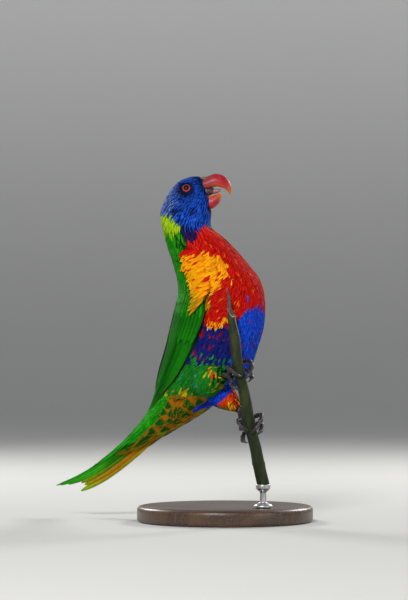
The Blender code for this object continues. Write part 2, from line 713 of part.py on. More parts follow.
def build_foot(name, hip, ankle, palm_angle, height):
    """A foot with two toes to each side of the perch, its claws, palm and short tarsus."""
    palm_at = toe_point(palm_angle, height, (0, 7.6, 0))
    palm = sphere_mesh(name, palm_at, PALM_RADIUS, PARTS, "skin_grey", 10, 8)
    hip, ankle = np.array(hip), np.array(ankle)
    inside = ankle + (hip - ankle) * TARSUS_SUNK
    pieces = [tube_mesh("tarsus", [inside, ankle, (ankle + palm_at) / 2, palm_at],
                        [TARSUS_RADIUS * k for k in (1.0, 1.0, 0.92, 1.1)],
                        2, CUTTERS, "skin_grey")]
    for toe, rows in TOES.items():
        rows = np.array(rows, float)
        last = len(rows) - 1
        points, radii = [], []
        for place in np.linspace(0, last, 2 * last + 1):
            points.append(toe_point(palm_angle, height, smooth_row(rows, place)))
            if place < last - 2:
                radii.append(TOE_RADIUS * (1.0 + 0.10 * math.cos(2 * math.pi * place)))
            elif place < last - 1.5:
                radii.append(TOE_RADIUS * 0.85)
            else:
                radii.append(CLAW_RADIUS * (last - place) / 1.5 + 0.22)
        pieces.append(tube_mesh(toe, points, radii, 1, CUTTERS, "skin_grey"))
    boolean(palm, "UNION", pieces)
    return palm


def build_stand(perch_foot):
    """A turned wooden base and one steel rod with a collar under the stem's cut end."""
    base = bmesh.new()
    bmesh.ops.create_cone(base, cap_ends=True, segments=48, radius1=BASE_RADIUS, radius2=BASE_RADIUS,
                          depth=BASE_HEIGHT)
    points = [np.array(v.co) + np.array([0, 0, BASE_HEIGHT / 2]) for v in base.verts]
    faces = [tuple(v.index for v in f.verts) for f in base.faces]
    base.free()
    disc = mesh_object("stand_base", points, faces, PARTS, "stand_wood")
    bevel = disc.modifiers.new("edge", "BEVEL")
    bevel.width = 2.0 * MM
    bevel.segments = 1
    bevel.limit_method = "ANGLE"
    bevel.angle_limit = math.radians(40)
    floor = BASE_HEIGHT + GAP
    top = perch_foot[2] - GAP
    profile = ((0, top), (ROD_COLLAR, top), (ROD_COLLAR, top - 3.5), (ROD_RADIUS, top - 5.5),
               (ROD_RADIUS, floor + 4), (ROD_FOOT, floor + 2), (ROD_FOOT, floor), (0, floor))
    mesh = bpy.data.meshes.new("stand_rod")
    mesh.from_pydata([(r * MM, 0, z * MM) for r, z in profile], [(i, i + 1) for i in range(len(profile) - 1)], [])
    mesh.materials.append(material_named("stand_steel"))
    rod = bpy.data.objects.new("stand_rod", mesh)
    PARTS.objects.link(rod)
    rod.location = (perch_foot[0] * MM, perch_foot[1] * MM, 0)
    screw = rod.modifiers.new("turn", "SCREW")
    screw.steps = screw.render_steps = 24
    screw.use_merge_vertices = True
    screw.merge_threshold = 0.00001
    return disc, rod


clear_scene()
PARTS = collection_named("rainbow_lorikeet")
CUTTERS = collection_named("cutters")

head = build_head()
neck = body_loft("neck", HEAD_CUT + GAP_STEP / 6.5, NECK_CUT - GAP_STEP / 6.5, 6, PARTS, "blue")
torso = body_loft("torso", NECK_CUT + GAP_STEP / 8.5, TORSO_END, 23, PARTS, "red")
tail = build_tail()

fit_against(tail, torso)

for side, label in ((1, "right"), (-1, "left")):
    sphere_mesh("eye_" + label, eye_centre(side), EYE_RADIUS, PARTS, "iris_red", 14, 9)

upper = bill_part("bill_upper", UPPER_BILL, PARTS, "bill_red")
lower = bill_part("bill_lower", LOWER_BILL, PARTS, "bill_red")
tongue = build_tongue()
for piece in (upper, lower, tongue):
    fit_against(piece, head)

thigh_right = thigh("thigh_right", *THIGH_RIGHT, "thigh_green")
thigh_left = thigh("thigh_left", *THIGH_LEFT, "thigh_green")
fit_against(thigh_right, torso)
fit_against(thigh_left, torso, thigh_right)

perch = build_perch()
foot_right = build_foot("foot_right", *THIGH_RIGHT[:2], *FOOT_RIGHT)
foot_left = build_foot("foot_left", *THIGH_LEFT[:2], *FOOT_LEFT)
fit_against(foot_right, thigh_right, perch)
fit_against(foot_left, thigh_left, perch)

wing_right = build_wing("wing_right", 1)
wing_left = build_wing("wing_left", -1)
for wing, leg in ((wing_right, thigh_right), (wing_left, thigh_left)):
    fit_against(wing, torso, leg)

build_stand(np.array([PERCH_ROWS[0][1], PERCH_ROWS[0][2], PERCH_ROWS[0][0]]))

for helper in list(CUTTERS.objects):
    bpy.data.objects.remove(helper, do_unlink=True)
bpy.context.view_layer.update()
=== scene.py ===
"""A life-size rainbow lorikeet clinging to a cut stem on a plain display stand.

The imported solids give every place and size. Lengths inside a section are millimetres unless its
comment says otherwise, and they become metres when a mesh is made. Materials work in metres.
"""

import math

import bmesh
import bpy
import numpy as np
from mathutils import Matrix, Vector, kdtree, noise


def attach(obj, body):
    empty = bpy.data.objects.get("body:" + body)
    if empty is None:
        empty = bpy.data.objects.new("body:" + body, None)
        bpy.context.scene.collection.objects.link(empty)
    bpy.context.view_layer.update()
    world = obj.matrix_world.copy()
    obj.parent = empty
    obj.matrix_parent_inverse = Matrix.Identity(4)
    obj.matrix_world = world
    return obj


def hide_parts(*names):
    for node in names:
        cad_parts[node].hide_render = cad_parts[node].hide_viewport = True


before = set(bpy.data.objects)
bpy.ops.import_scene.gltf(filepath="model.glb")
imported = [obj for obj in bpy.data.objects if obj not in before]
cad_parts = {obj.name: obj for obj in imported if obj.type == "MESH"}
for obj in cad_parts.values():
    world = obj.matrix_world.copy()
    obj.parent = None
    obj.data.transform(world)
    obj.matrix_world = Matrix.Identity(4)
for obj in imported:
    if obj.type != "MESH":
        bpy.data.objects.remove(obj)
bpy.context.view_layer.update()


# STAND BASE
# A plain disc of dark stained wood, turned on a lathe, with a softened rim and one shallow bead.
# The grain runs straight across it under a satin varnish, a little worn along the rim.
# Each pair of the profile: radius, height.
BASE_PROFILE = (
    (0, 12.0), (30, 12.0), (58.5, 12.0), (59.6, 11.95), (60.2, 11.5), (61.0, 11.3), (61.8, 11.5),
    (62.4, 11.8), (63.2, 11.8), (64.4, 11.4), (65.4, 10.5), (65.9, 9.4), (66.0, 8.0), (66.0, 3.0),
    (65.8, 1.6), (65.2, 0.7), (64.3, 0.2), (63.0, 0.0), (0, 0.0),
)


class Socket:
    """One socket of a material's nodes. Sums, differences and products of it add Math nodes."""

    def __init__(self, tree, link):
        self.tree, self.link = tree, link

    def node(self, kind, settings=None, sockets=None, output=0):
        """Adds a node, sets it up, feeds its sockets with values or links, and gives back one output."""
        made = self.tree.nodes.new("ShaderNode" + kind)
        for name, value in (settings or {}).items():
            if name == "stops":
                ramp = made.color_ramp
                for number, (stop, colour) in enumerate(value):
                    mark = ramp.elements[number] if number < 2 else ramp.elements.new(stop)
                    mark.position, mark.color = stop, (*colour, 1.0)
            else:
                setattr(made, name, value)
        for name, value in (sockets or {}).items():
            if isinstance(value, Socket):
                self.tree.links.new(value.link, made.inputs[name])
            else:
                made.inputs[name].default_value = value
        return Socket(self.tree, made.outputs[output])

    def math(self, operation, first, second=0.0):
        return self.node("Math", {"operation": operation}, {0: first, 1: second})

    def __add__(self, other):
        return self.math("ADD", self, other)

    def __sub__(self, other):
        return self.math("SUBTRACT", self, other)

    def __rsub__(self, other):
        return self.math("SUBTRACT", other, self)

    def __mul__(self, other):
        return self.math("MULTIPLY", self, other)

    __radd__, __rmul__ = __add__, __mul__

    def between(self, low, high, start=0.0, end=1.0):
        """This value, eased from start to end while it runs from low to high."""
        ease = {"interpolation_type": "SMOOTHSTEP"}
        return self.node("MapRange", ease, {0: self, 1: low, 2: high, 3: start, 4: end})

    def tinted(self, colour, share, way="MIX"):
        """This colour with a share of another one laid over it."""
        colour = colour if isinstance(colour, Socket) else (*colour, 1.0)
        return self.node("Mix", {"data_type": "RGBA", "blend_type": way}, {0: share, 6: self, 7: colour}, 2)

    def carried(self, name, output):
        """What a mesh carries at its points: its colour at output 0, vector at 1 and number at 2."""
        return self.node("Attribute", {"attribute_name": name}, {}, output)

    def axis(self, number):
        """One of the three numbers of a vector."""
        return self.node("SeparateXYZ", {}, {0: self}, number)

    def stretched(self, scale):
        """These coordinates, stretched along each axis."""
        return self.node("VectorMath", {"operation": "MULTIPLY"}, {0: self, 1: scale})

    def clouds(self, scale, detail=3.0, roughness=0.5):
        """Soft random values from 0 to 1 over these coordinates."""
        settings = {"Vector": self, "Scale": scale, "Detail": detail, "Roughness": roughness}
        return self.node("TexNoise", {}, settings)

    def colour(self, red, green, blue):
        """One colour all over, to start a mixture from."""
        return self.node("Mix", {"data_type": "RGBA"}, {0: 0.0, 6: (red, green, blue, 1.0)}, 2)

    def into(self, shader, name):
        self.tree.links.new(self.link, shader.inputs[name])

    def relief(self, shader, height, strength, distance=0.0002):
        """Raises the surface by a height of 0 to 1, given in metres at 1."""
        bump = self.node("Bump", {}, {"Height": height, "Strength": strength, "Distance": distance})
        bump.into(shader, "Normal")


def new_finish(name, **settings):
    """A material, its shader with what is the same all over it, and the object's coordinates."""
    material = bpy.data.materials.new(name)
    material.use_nodes = True
    shader = material.node_tree.nodes["Principled BSDF"]
    for label, value in settings.items():
        shader.inputs[label.replace("_", " ")].default_value = value
    place = material.node_tree.nodes.new("ShaderNodeTexCoord")
    return material, shader, Socket(material.node_tree, place.outputs["Object"])


def new_piece(name, points, faces, finish, replaced=()):
    """A smooth mesh piece from points in millimetres, riding on the one body of the model."""
    mesh = bpy.data.meshes.new(name)
    mesh.from_pydata((np.asarray(points, float) * 0.001).tolist(), [], faces)
    made = bmesh.new()
    made.from_mesh(mesh)
    bmesh.ops.recalc_face_normals(made, faces=made.faces)
    made.to_mesh(mesh)
    made.free()
    mesh.materials.append(finish)
    mesh.shade_smooth()
    piece = bpy.data.objects.new(name, mesh)
    bpy.context.scene.collection.objects.link(piece)
    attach(piece, "root")
    if replaced:
        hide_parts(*replaced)
    return piece


def tube_faces(rings, sides, closed_start=True, closed_end=True):
    """The faces of a tube whose points come ring by ring."""
    row, side = np.meshgrid(np.arange(rings - 1), np.arange(sides), indexing="ij")
    a, b = row * sides + side, row * sides + (side + 1) % sides
    faces = np.stack([a, b, b + sides, a + sides], -1).reshape(-1, 4).tolist()
    if closed_start:
        faces.append(list(range(sides))[::-1])
    if closed_end:
        faces.append(list(range((rings - 1) * sides, rings * sides)))
    return faces


def full_turn(sides):
    """Even angles once round, in radians."""
    return np.arange(sides) * 2 * np.pi / sides


def turned(name, profile, centre, sides, finish, replaced):
    """A piece turned on a lathe from a profile of radius and height, round an upright line."""
    turns = full_turn(sides)
    rings = [np.stack([max(r, 0.05) * np.cos(turns), max(r, 0.05) * np.sin(turns), np.full(sides, z)], -1)
             for r, z in profile]
    points = np.concatenate(rings) + np.array([centre[0], centre[1], 0.0])
    return new_piece(name, points, tube_faces(len(rings), sides), finish, replaced)


varnished_wood, shader, place = new_finish("varnished_wood", Coat_Weight=0.35, Coat_Roughness=0.25)
figure = place.stretched((5.0, 60.0, 14.0)).clouds(2.2, 2.0)
grain = place.stretched((9.0, 420.0, 420.0)).clouds(2.0, 5.0, 0.6)
rings = figure.math("SINE", figure * 26.0) * 0.5 + 0.5
pores = place.stretched((60.0, 1900.0, 1900.0)).clouds(1.0, 2.0).between(0.60, 0.74)
radius = place.node("VectorMath", {"operation": "LENGTH"}, {0: place.stretched((1.0, 1.0, 0.0))}, 1)
rim = radius.between(0.0635, 0.0655) * place.clouds(900.0).between(0.45, 0.7)
wood = place.colour(0.040, 0.020, 0.011).tinted((0.105, 0.052, 0.026), rings * 0.7)
wood = wood.tinted((0.15, 0.078, 0.040), grain.between(0.45, 0.8) * 0.6)
wood = wood.tinted((0.012, 0.006, 0.004), pores * 0.8).tinted((0.20, 0.115, 0.062), rim * 0.35)
wood.into(shader, "Base Color")
(0.34 + 0.16 * grain + 0.10 * pores).into(shader, "Roughness")
place.relief(shader, grain * 0.6 - pores * 0.8 + rings * 0.15, 0.35, 0.00015)
turned("stand_disc", BASE_PROFILE, (0, 0), 160, varnished_wood, ("stand_base",))


# STAND ROD
# One straight rod of brushed steel, with a turned foot screwed to the base and a small cup that
# holds the cut end of the stem. Fine draw lines run along the rod and round its collars.
ROD_AT = (28.0, -32.0)
ROD_PROFILE = (
    (0, 29.7), (4.7, 29.7), (5.2, 29.5), (5.4, 29.1), (5.4, 27.0), (5.2, 26.3), (4.2, 25.2), (2.9, 24.4),
    (2.45, 23.6), (2.4, 22.0), (2.4, 17.0), (2.5, 16.5), (3.4, 15.9), (5.6, 14.9), (6.7, 14.2), (7.0, 13.6),
    (7.0, 12.7), (6.8, 12.3), (0, 12.3),
)

brushed_steel, shader, place = new_finish("brushed_steel", Metallic=1.0)
lines = place.stretched((2600.0, 2600.0, 40.0)).clouds(1.0, 4.0)
smudges = place.clouds(160.0, 3.0)
steel = place.colour(0.46, 0.46, 0.47).tinted((0.66, 0.66, 0.67), lines * 0.8)
steel.tinted((0.30, 0.29, 0.28), smudges.between(0.5, 0.8) * 0.4).into(shader, "Base Color")
(0.20 + 0.22 * lines + 0.12 * smudges).into(shader, "Roughness")
place.relief(shader, lines, 0.25, 0.00005)
turned("stand_post", ROD_PROFILE, ROD_AT, 72, brushed_steel, ("stand_rod",))


# STEM
# A cut length of a green, woody flower stem, as thick as a pencil. Its top has died back to a
# grey thorn above a scar, and a dry edge of bark runs down from the scar. The foot is sawn flat.
# Each row: height Z, X, Y, radius.
STEM_ROWS = np.array((
    (30.0, 28.0, -32.0, 4.9), (44.0, 24.8, -33.6, 4.75), (57.3, 22.2, -35.2, 4.6), (73.0, 18.2, -37.3, 4.5),
    (94.0, 14.6, -39.2, 4.4), (115.0, 9.7, -40.2, 4.2), (136.0, 7.0, -40.0, 4.0), (149.5, 5.0, -39.6, 3.4),
    (155.0, 4.4, -39.4, 3.1), (160.0, 3.1, -39.1, 1.7), (167.0, 2.6, -38.8, 1.3), (175.0, 1.2, -38.2, 0.45),
))
SCAR_LOW = 152.0
# The stem's foot stands this high, in the rod's cup.
FOOT_AT = 29.72


def read_rows(rows, places):
    """Rows of values read at real places along them, on one smooth curve through all the rows."""
    rows, places = np.asarray(rows, float), np.clip(np.asarray(places, float), 0.0, len(rows) - 1.0)
    low = np.clip(places.astype(int), 0, len(rows) - 2)
    t = (places - low)[..., None]
    before, start = rows[np.maximum(low - 1, 0)], rows[low]
    end, after = rows[low + 1], rows[np.minimum(low + 2, len(rows) - 1)]
    return ((2 * t**3 - 3 * t**2 + 1) * start + (t**3 - 2 * t**2 + t) * (end - before) / 2
            + (3 * t**2 - 2 * t**3) * end + (t**3 - t**2) * (after - start) / 2)


def lumps(points, size, seed=0.0):
    """Soft random heights from about -1 to 1 at points in millimetres."""
    shift = Vector((seed, seed, seed))
    found = [noise.noise(Vector(point) / size + shift) for point in points.reshape(-1, 3).tolist()]
    return np.array(found).reshape(points.shape[:-1])


def hump(values, width):
    """A smooth hump, 1 where the values are 0, that fades out over its width on both sides."""
    return np.exp(-(values / width) ** 2)


def carry(mesh, name, kind, values):
    """Stores a value at each point of a mesh, for its material to read by name."""
    store = mesh.color_attributes if kind == "FLOAT_COLOR" else mesh.attributes
    field = {"FLOAT": "value", "FLOAT_VECTOR": "vector", "FLOAT_COLOR": "color"}[kind]
    store.new(name, kind, "POINT").data.foreach_set(field, np.asarray(values).astype(np.float32).ravel())


stem_places = np.concatenate([np.linspace(0, 7, 190), np.linspace(7.03, 11, 130)])
stem_sides = 64
heights, xs, ys, radii = read_rows(STEM_ROWS, stem_places).T
turns = full_turn(stem_sides)
spokes = np.stack([np.cos(turns), -np.sin(turns), np.zeros(stem_sides)], -1)
centres = np.stack([xs, ys, heights], -1)
stem = centres[:, None] + radii[:, None, None] * spokes
node_swell = 0.05 * hump(stem_places[:, None] - np.array([1.1, 3.2, 5.1]), 0.14).sum(1)
bark = 0.13 * lumps(stem, 7.0) + 0.07 * lumps(stem, 2.2, 5.0)
bark += 0.05 * np.sin(turns * 9 + 1.5 * lumps(stem, 14.0, 9.0)) * (heights[:, None] > SCAR_LOW)
dry_edge_at = 0.62 + 0.03 * (heights - 150.0)
dry_edge = hump(np.angle(np.exp(1j * (turns[None] - dry_edge_at[:, None]))), 0.14)
dry_edge *= (np.clip((heights - 126.0) / 14.0, 0, 1) * np.clip((SCAR_LOW + 4 - heights) / 3.0, 0, 1))[:, None]
scar_line = SCAR_LOW + 5.2 + 3.2 * np.cos(turns + 2.6) + 0.8 * np.sin(3 * turns)
from_scar = heights[:, None] - scar_line[None]
lip = hump(from_scar + 0.6, 0.8)
swell = node_swell[:, None] * radii[:, None] - 0.18 + bark + 0.42 * dry_edge + 0.30 * lip
stem += spokes * swell[..., None]

green_bark, shader, place = new_finish("green_bark", Specular_IOR_Level=0.25)
dryness = place.carried("dryness", 2)
edging = place.carried("edging", 2)
speckle = place.stretched((1.0, 1.0, 0.7)).clouds(900.0, 3.0, 0.6)
pale_specks = place.clouds(1500.0, 2.0).between(0.66, 0.72)
blotch = place.stretched((1.0, 1.0, 0.35)).clouds(190.0, 3.0)
fibre = place.stretched((1.0, 1.0, 0.06)).clouds(2400.0, 3.0)
green = place.colour(0.014, 0.022, 0.005).tinted((0.030, 0.044, 0.009), blotch.between(0.42, 0.66))
green = green.tinted((0.007, 0.010, 0.004), blotch.between(0.36, 0.16))
green = green.tinted((0.005, 0.005, 0.003), speckle.between(0.60, 0.68) * 0.85)
green = green.tinted((0.11, 0.12, 0.06), pale_specks * 0.45)
dead = place.colour(0.050, 0.034, 0.032).tinted((0.24, 0.18, 0.15), fibre.between(0.42, 0.72))
dead = dead.tinted((0.014, 0.008, 0.007), fibre.between(0.40, 0.22) * 0.9)
bark_colour = green.tinted(dead, dryness).tinted((0.40, 0.33, 0.25), edging * fibre.between(0.30, 0.55))
bark_colour.into(shader, "Base Color")
(0.50 + 0.16 * blotch + 0.25 * dryness).into(shader, "Roughness")
place.relief(shader, speckle * 0.5 + fibre * (0.3 + 0.9 * dryness), 0.6, 0.00025)

# The sawn foot is a smaller ring under the first one.
foot_ring = centres[0] + (stem[0] - centres[0]) * 0.86
points = np.concatenate([foot_ring, stem.reshape(-1, 3)])
points[:stem_sides, 2] -= 0.35
points[:, 2] = np.maximum(points[:, 2], FOOT_AT)
stem_piece = new_piece("stem_bark", points, tube_faces(len(stem) + 1, stem_sides), green_bark,
                       ("perch",))
pale = np.maximum(dry_edge ** 2, hump(from_scar + 0.5, 0.45))
dry = np.maximum(np.clip((from_scar + 0.2) / 1.0, 0, 1), np.maximum(dry_edge ** 1.5, 0.6 * lip))
carry(stem_piece.data, "edging", "FLOAT", np.concatenate([np.zeros(stem_sides), pale.reshape(-1)]))
carry(stem_piece.data, "dryness", "FLOAT", np.concatenate([np.full(stem_sides, 0.7), dry.reshape(-1)]))


# SKIN
# The living bird under its feathers: head, neck, trunk and both thighs in one skin without a seam.
# It lies inside the solids by the depth of the coat, and carries the same markings, only darker.
# Each row: height Z, centre X, centre Y, half depth, half width, yaw, tilt, roll (degrees).
SECTIONS = np.array((
    (258.6, -21.4, 11.0, 4.5, 5.0, 8, 0, 0), (256.4, -23.4, 11.0, 8.8, 8.6, 8, 0, 0),
    (253.2, -25.4, 11.0, 11.6, 11.2, 8, 0, 0), (249.2, -27.0, 11.0, 13.9, 12.9, 8, 0, 0),
    (244.0, -27.9, 11.0, 16.4, 14.0, 8, 0, 0), (238.0, -28.6, 11.0, 18.5, 14.8, 9, 0, 0),
    (231.2, -29.4, 11.0, 19.4, 15.4, 11, 0, 0), (224.5, -29.4, 11.0, 18.7, 15.8, 14, 0, 0),
    (219.2, -28.0, 10.2, 19.2, 17.0, 18, 0, 0), (213.2, -23.4, 8.5, 22.5, 19.5, 25, 0, 0),
    (204.2, -17.4, 6.0, 25.7, 23.0, 32, 0, 0), (193.0, -10.7, 3.5, 28.9, 26.0, 36, 0, 0),
    (181.8, -4.9, 1.3, 32.0, 27.5, 38, 0, 0), (170.5, -2.2, 0.0, 32.9, 28.0, 38, 0, 0),
    (157.0, -2.1, 0.0, 33.7, 28.0, 38, 0, 0), (143.5, -3.6, 0.6, 34.1, 27.0, 38, 0, 0),
    (130.0, -6.8, 2.0, 33.6, 25.5, 38, 0, 0), (112.8, -12.4, 5.5, 32.6, 24.0, 38, 4, 0),
    (102.6, -19.1, 9.5, 29.5, 21.5, 38, 5, 0), (93.4, -26.6, 14.0, 25.5, 18.5, 37, 7, 3),
    (85.4, -34.1, 18.2, 21.6, 15.5, 36, 10, 6), (79.0, -41.2, 22.2, 17.8, 13.0, 35, 14, 9),
    (73.0, -48.8, 26.5, 14.2, 11.0, 33, 20, 13), (66.2, -57.1, 31.2, 10.2, 9.6, 32, 30, 16),
    (52.4, -73.5, 40.2, 5.4, 8.6, 30, 44, 20), (37.6, -93.5, 51.4, 2.6, 8.0, 30, 52, 22),
    (28.0, -111.5, 61.8, 1.4, 8.0, 30, 57, 24), (21.4, -129.2, 71.9, 0.6, 8.0, 30, 62, 26),
))
TAIL_ROOT = 23.0
FULLNESS = 2.15
UP = np.array((0.0, 0.0, 1.0))
# The folded wing's rows: section, angle of its low and its top edge round the body, how high it
# stands, and how far it beds into the flank.
WING_ROWS = np.array((
    (10.4, 96, 138, -0.6, 1.6), (11, 93, 148, -0.7, 2.8), (12, 90, 158, -0.5, 3.2), (13, 84, 165, 0.9, 3.0),
    (14, 81, 169, 4.0, 2.0), (15, 85, 171, 5.8, 1.0), (16, 89, 172, 6.4, 0.5), (17, 98, 173, 6.4, 0.3),
    (18, 106, 173, 5.0, 0.0), (19, 115, 173, 3.5, 0.0), (20, 124, 173, 2.3, 0.0), (21, 134, 172, 1.5, 0.0),
    (21.8, 144, 170, 1.2, 0.0),
))
# Each thigh, right then left: hip, ankle, and radii at even steps between them.
THIGHS = {
    1: ((-17.0, -9.0, 105.0), (-0.5, -32.0, 110.5), (11.0, 13.2, 12.6, 10.0, 6.6, 3.6)),
    -1: ((-9.0, 0.0, 100.0), (10.6, -28.6, 85.5), (9.0, 10.4, 9.8, 8.0, 5.6, 3.4)),
}
SIDES = ((1, "right"), (-1, "left"))
SKIN_VOXEL = 0.0009


def unit(vectors):
    return vectors / np.maximum(np.linalg.norm(vectors, axis=-1, keepdims=True), 1e-12)


def ease(values, low, high):
    """Eases from 0 to 1 while the values run from low to high."""
    t = np.clip((np.asarray(values, float) - low) / (high - low), 0.0, 1.0)
    return t * t * (3 - 2 * t)


def from_belly(angles):
    """Angles round the body as 0 to 180 degrees away from the belly, the same on both sides."""
    return np.abs((np.asarray(angles, float) + 180.0) % 360.0 - 180.0)


def body_frame(places):
    """Centre, belly direction, right-hand direction, half depth and half width at each section."""
    height, x, y, depth, width, yaw, tilt, roll = np.moveaxis(read_rows(SECTIONS, places), -1, 0)
    yaw, tilt, roll = np.radians(yaw), np.radians(tilt), np.radians(roll)
    zero = np.zeros_like(yaw)
    forward = np.stack([np.cos(yaw), -np.sin(yaw), zero], -1)
    right = np.stack([-np.sin(yaw), -np.cos(yaw), zero], -1)
    belly = np.cos(tilt)[..., None] * forward - np.sin(tilt)[..., None] * UP
    c, s = np.cos(roll)[..., None], np.sin(roll)[..., None]
    return np.stack([x, y, height], -1), s * right + c * belly, c * right - s * belly, depth, width


def on_body(places, angles, rise=0.0):
    """Points on the body: angle 0 is the belly, 90 its right side and 180 its back."""
    places, angles = np.broadcast_arrays(np.asarray(places, float), np.asarray(angles, float))
    centre, belly, right, depth, width = body_frame(places)
    c, s = np.cos(np.radians(angles)), np.sin(np.radians(angles))
    along = np.sign(c) * np.abs(c) ** (2 / FULLNESS) * depth
    across = np.sign(s) * np.abs(s) ** (2 / FULLNESS) * width
    outward = unit(belly * (c / depth)[..., None] + right * (s / width)[..., None])
    middle = centre + belly * along[..., None] + right * across[..., None]
    return middle + outward * np.asarray(rise, float)[..., None]


def facing(surface, firsts, seconds, outside):
    """The outward normal of a surface, given by two values, at each of its points."""
    one = surface(firsts + 0.06, seconds) - surface(firsts - 0.06, seconds)
    # The second value is an angle in degrees or millimetres on some surfaces, and a share on others.
    step = 2.0 if np.max(np.abs(seconds)) > 3 else 0.02
    two = surface(firsts, seconds + step) - surface(firsts, seconds - step)
    normal = unit(np.cross(one, two))
    return np.where(np.sum(normal * outside, -1, keepdims=True) < 0, -normal, normal)


def body_outward(places, angles):
    places, angles = np.broadcast_arrays(np.asarray(places, float), np.asarray(angles, float))
    return facing(on_body, places, angles, on_body(places, angles, 1.0) - on_body(places, angles))


def coat_depth(places):
    """How deep the feathers lie over the skin, from the face down to the root of the tail."""
    at, deep = (0, 2.5, 5, 8, 10, 14, 18, 21, TAIL_ROOT), (0.7, 0.7, 1.0, 1.4, 1.9, 2.1, 1.9, 1.5, 1.2)
    return np.interp(places, at, deep)


def folded_wing(places):
    """The folded wing's low edge, top edge, height and bed at sections of the body."""
    return [np.interp(places, WING_ROWS[:, 0], column) for column in WING_ROWS[:, 1:].T]


def wing_bed(places, angles):
    """How far the flank sinks under the folded wing, so that the wing's shoulder lies flush."""
    low, top, _, bed = folded_wing(places)
    turn = from_belly(angles)
    edge = np.clip((np.minimum(turn - low, top - turn) + 8.0) / 12.0, 0, 1)
    along = np.clip(np.minimum(places - 9.9, 17.0 - places), 0, 1)
    return bed * edge * along


skin_places, skin_sides = np.linspace(0.0, TAIL_ROOT + 0.7, 190), 120
skin_turns = np.arange(skin_sides) * 360.0 / skin_sides
at, around = np.meshgrid(skin_places, skin_turns, indexing="ij")
sunk = np.minimum(coat_depth(at) + wing_bed(at, around), 0.9 * body_frame(at)[3])
skin_points = on_body(at, around) - body_outward(at, around) * sunk[..., None]
loose = bpy.data.meshes.new("skin")
loose.from_pydata((skin_points.reshape(-1, 3) * 0.001).tolist(), [], tube_faces(len(skin_places), skin_sides))
joined = bmesh.new()
joined.from_mesh(loose)
for hip, ankle, radii in THIGHS.values():
    hip, ankle = np.array(hip), np.array(ankle)
    steps = np.linspace(0, 1, 40)
    size = read_rows(np.array(radii)[:, None], steps * (len(radii) - 1))[:, 0]
    size = size - np.interp(steps, (0, 0.7, 1.0), (2.0, 1.6, 0.9))
    along = unit(ankle - hip)
    side = unit(np.cross(along, UP))
    front = np.cross(side, along)
    turns = full_turn(40)
    leg = (hip + (ankle - hip) * steps[:, None])[:, None] + size[:, None, None] * (
        np.cos(turns)[:, None] * side + np.sin(turns)[:, None] * front)
    limb = bpy.data.meshes.new("limb")
    limb.from_pydata((leg.reshape(-1, 3) * 0.001).tolist(), [], tube_faces(40, 40))
    joined.from_mesh(limb)
    bpy.data.meshes.remove(limb)
bmesh.ops.recalc_face_normals(joined, faces=joined.faces)
joined.to_mesh(loose)
joined.free()
skin = bpy.data.objects.new("skin", loose)
bpy.context.scene.collection.objects.link(skin)
fuse = skin.modifiers.new("fuse", "REMESH")
fuse.mode, fuse.voxel_size, fuse.use_smooth_shade = "VOXEL", SKIN_VOXEL, True
settle = skin.modifiers.new("settle", "SMOOTH")
settle.factor, settle.iterations = 0.5, 4
fused = bpy.data.meshes.new_from_object(skin.evaluated_get(bpy.context.evaluated_depsgraph_get()))
skin.modifiers.clear()
skin.data = fused
fused.name = "skin"


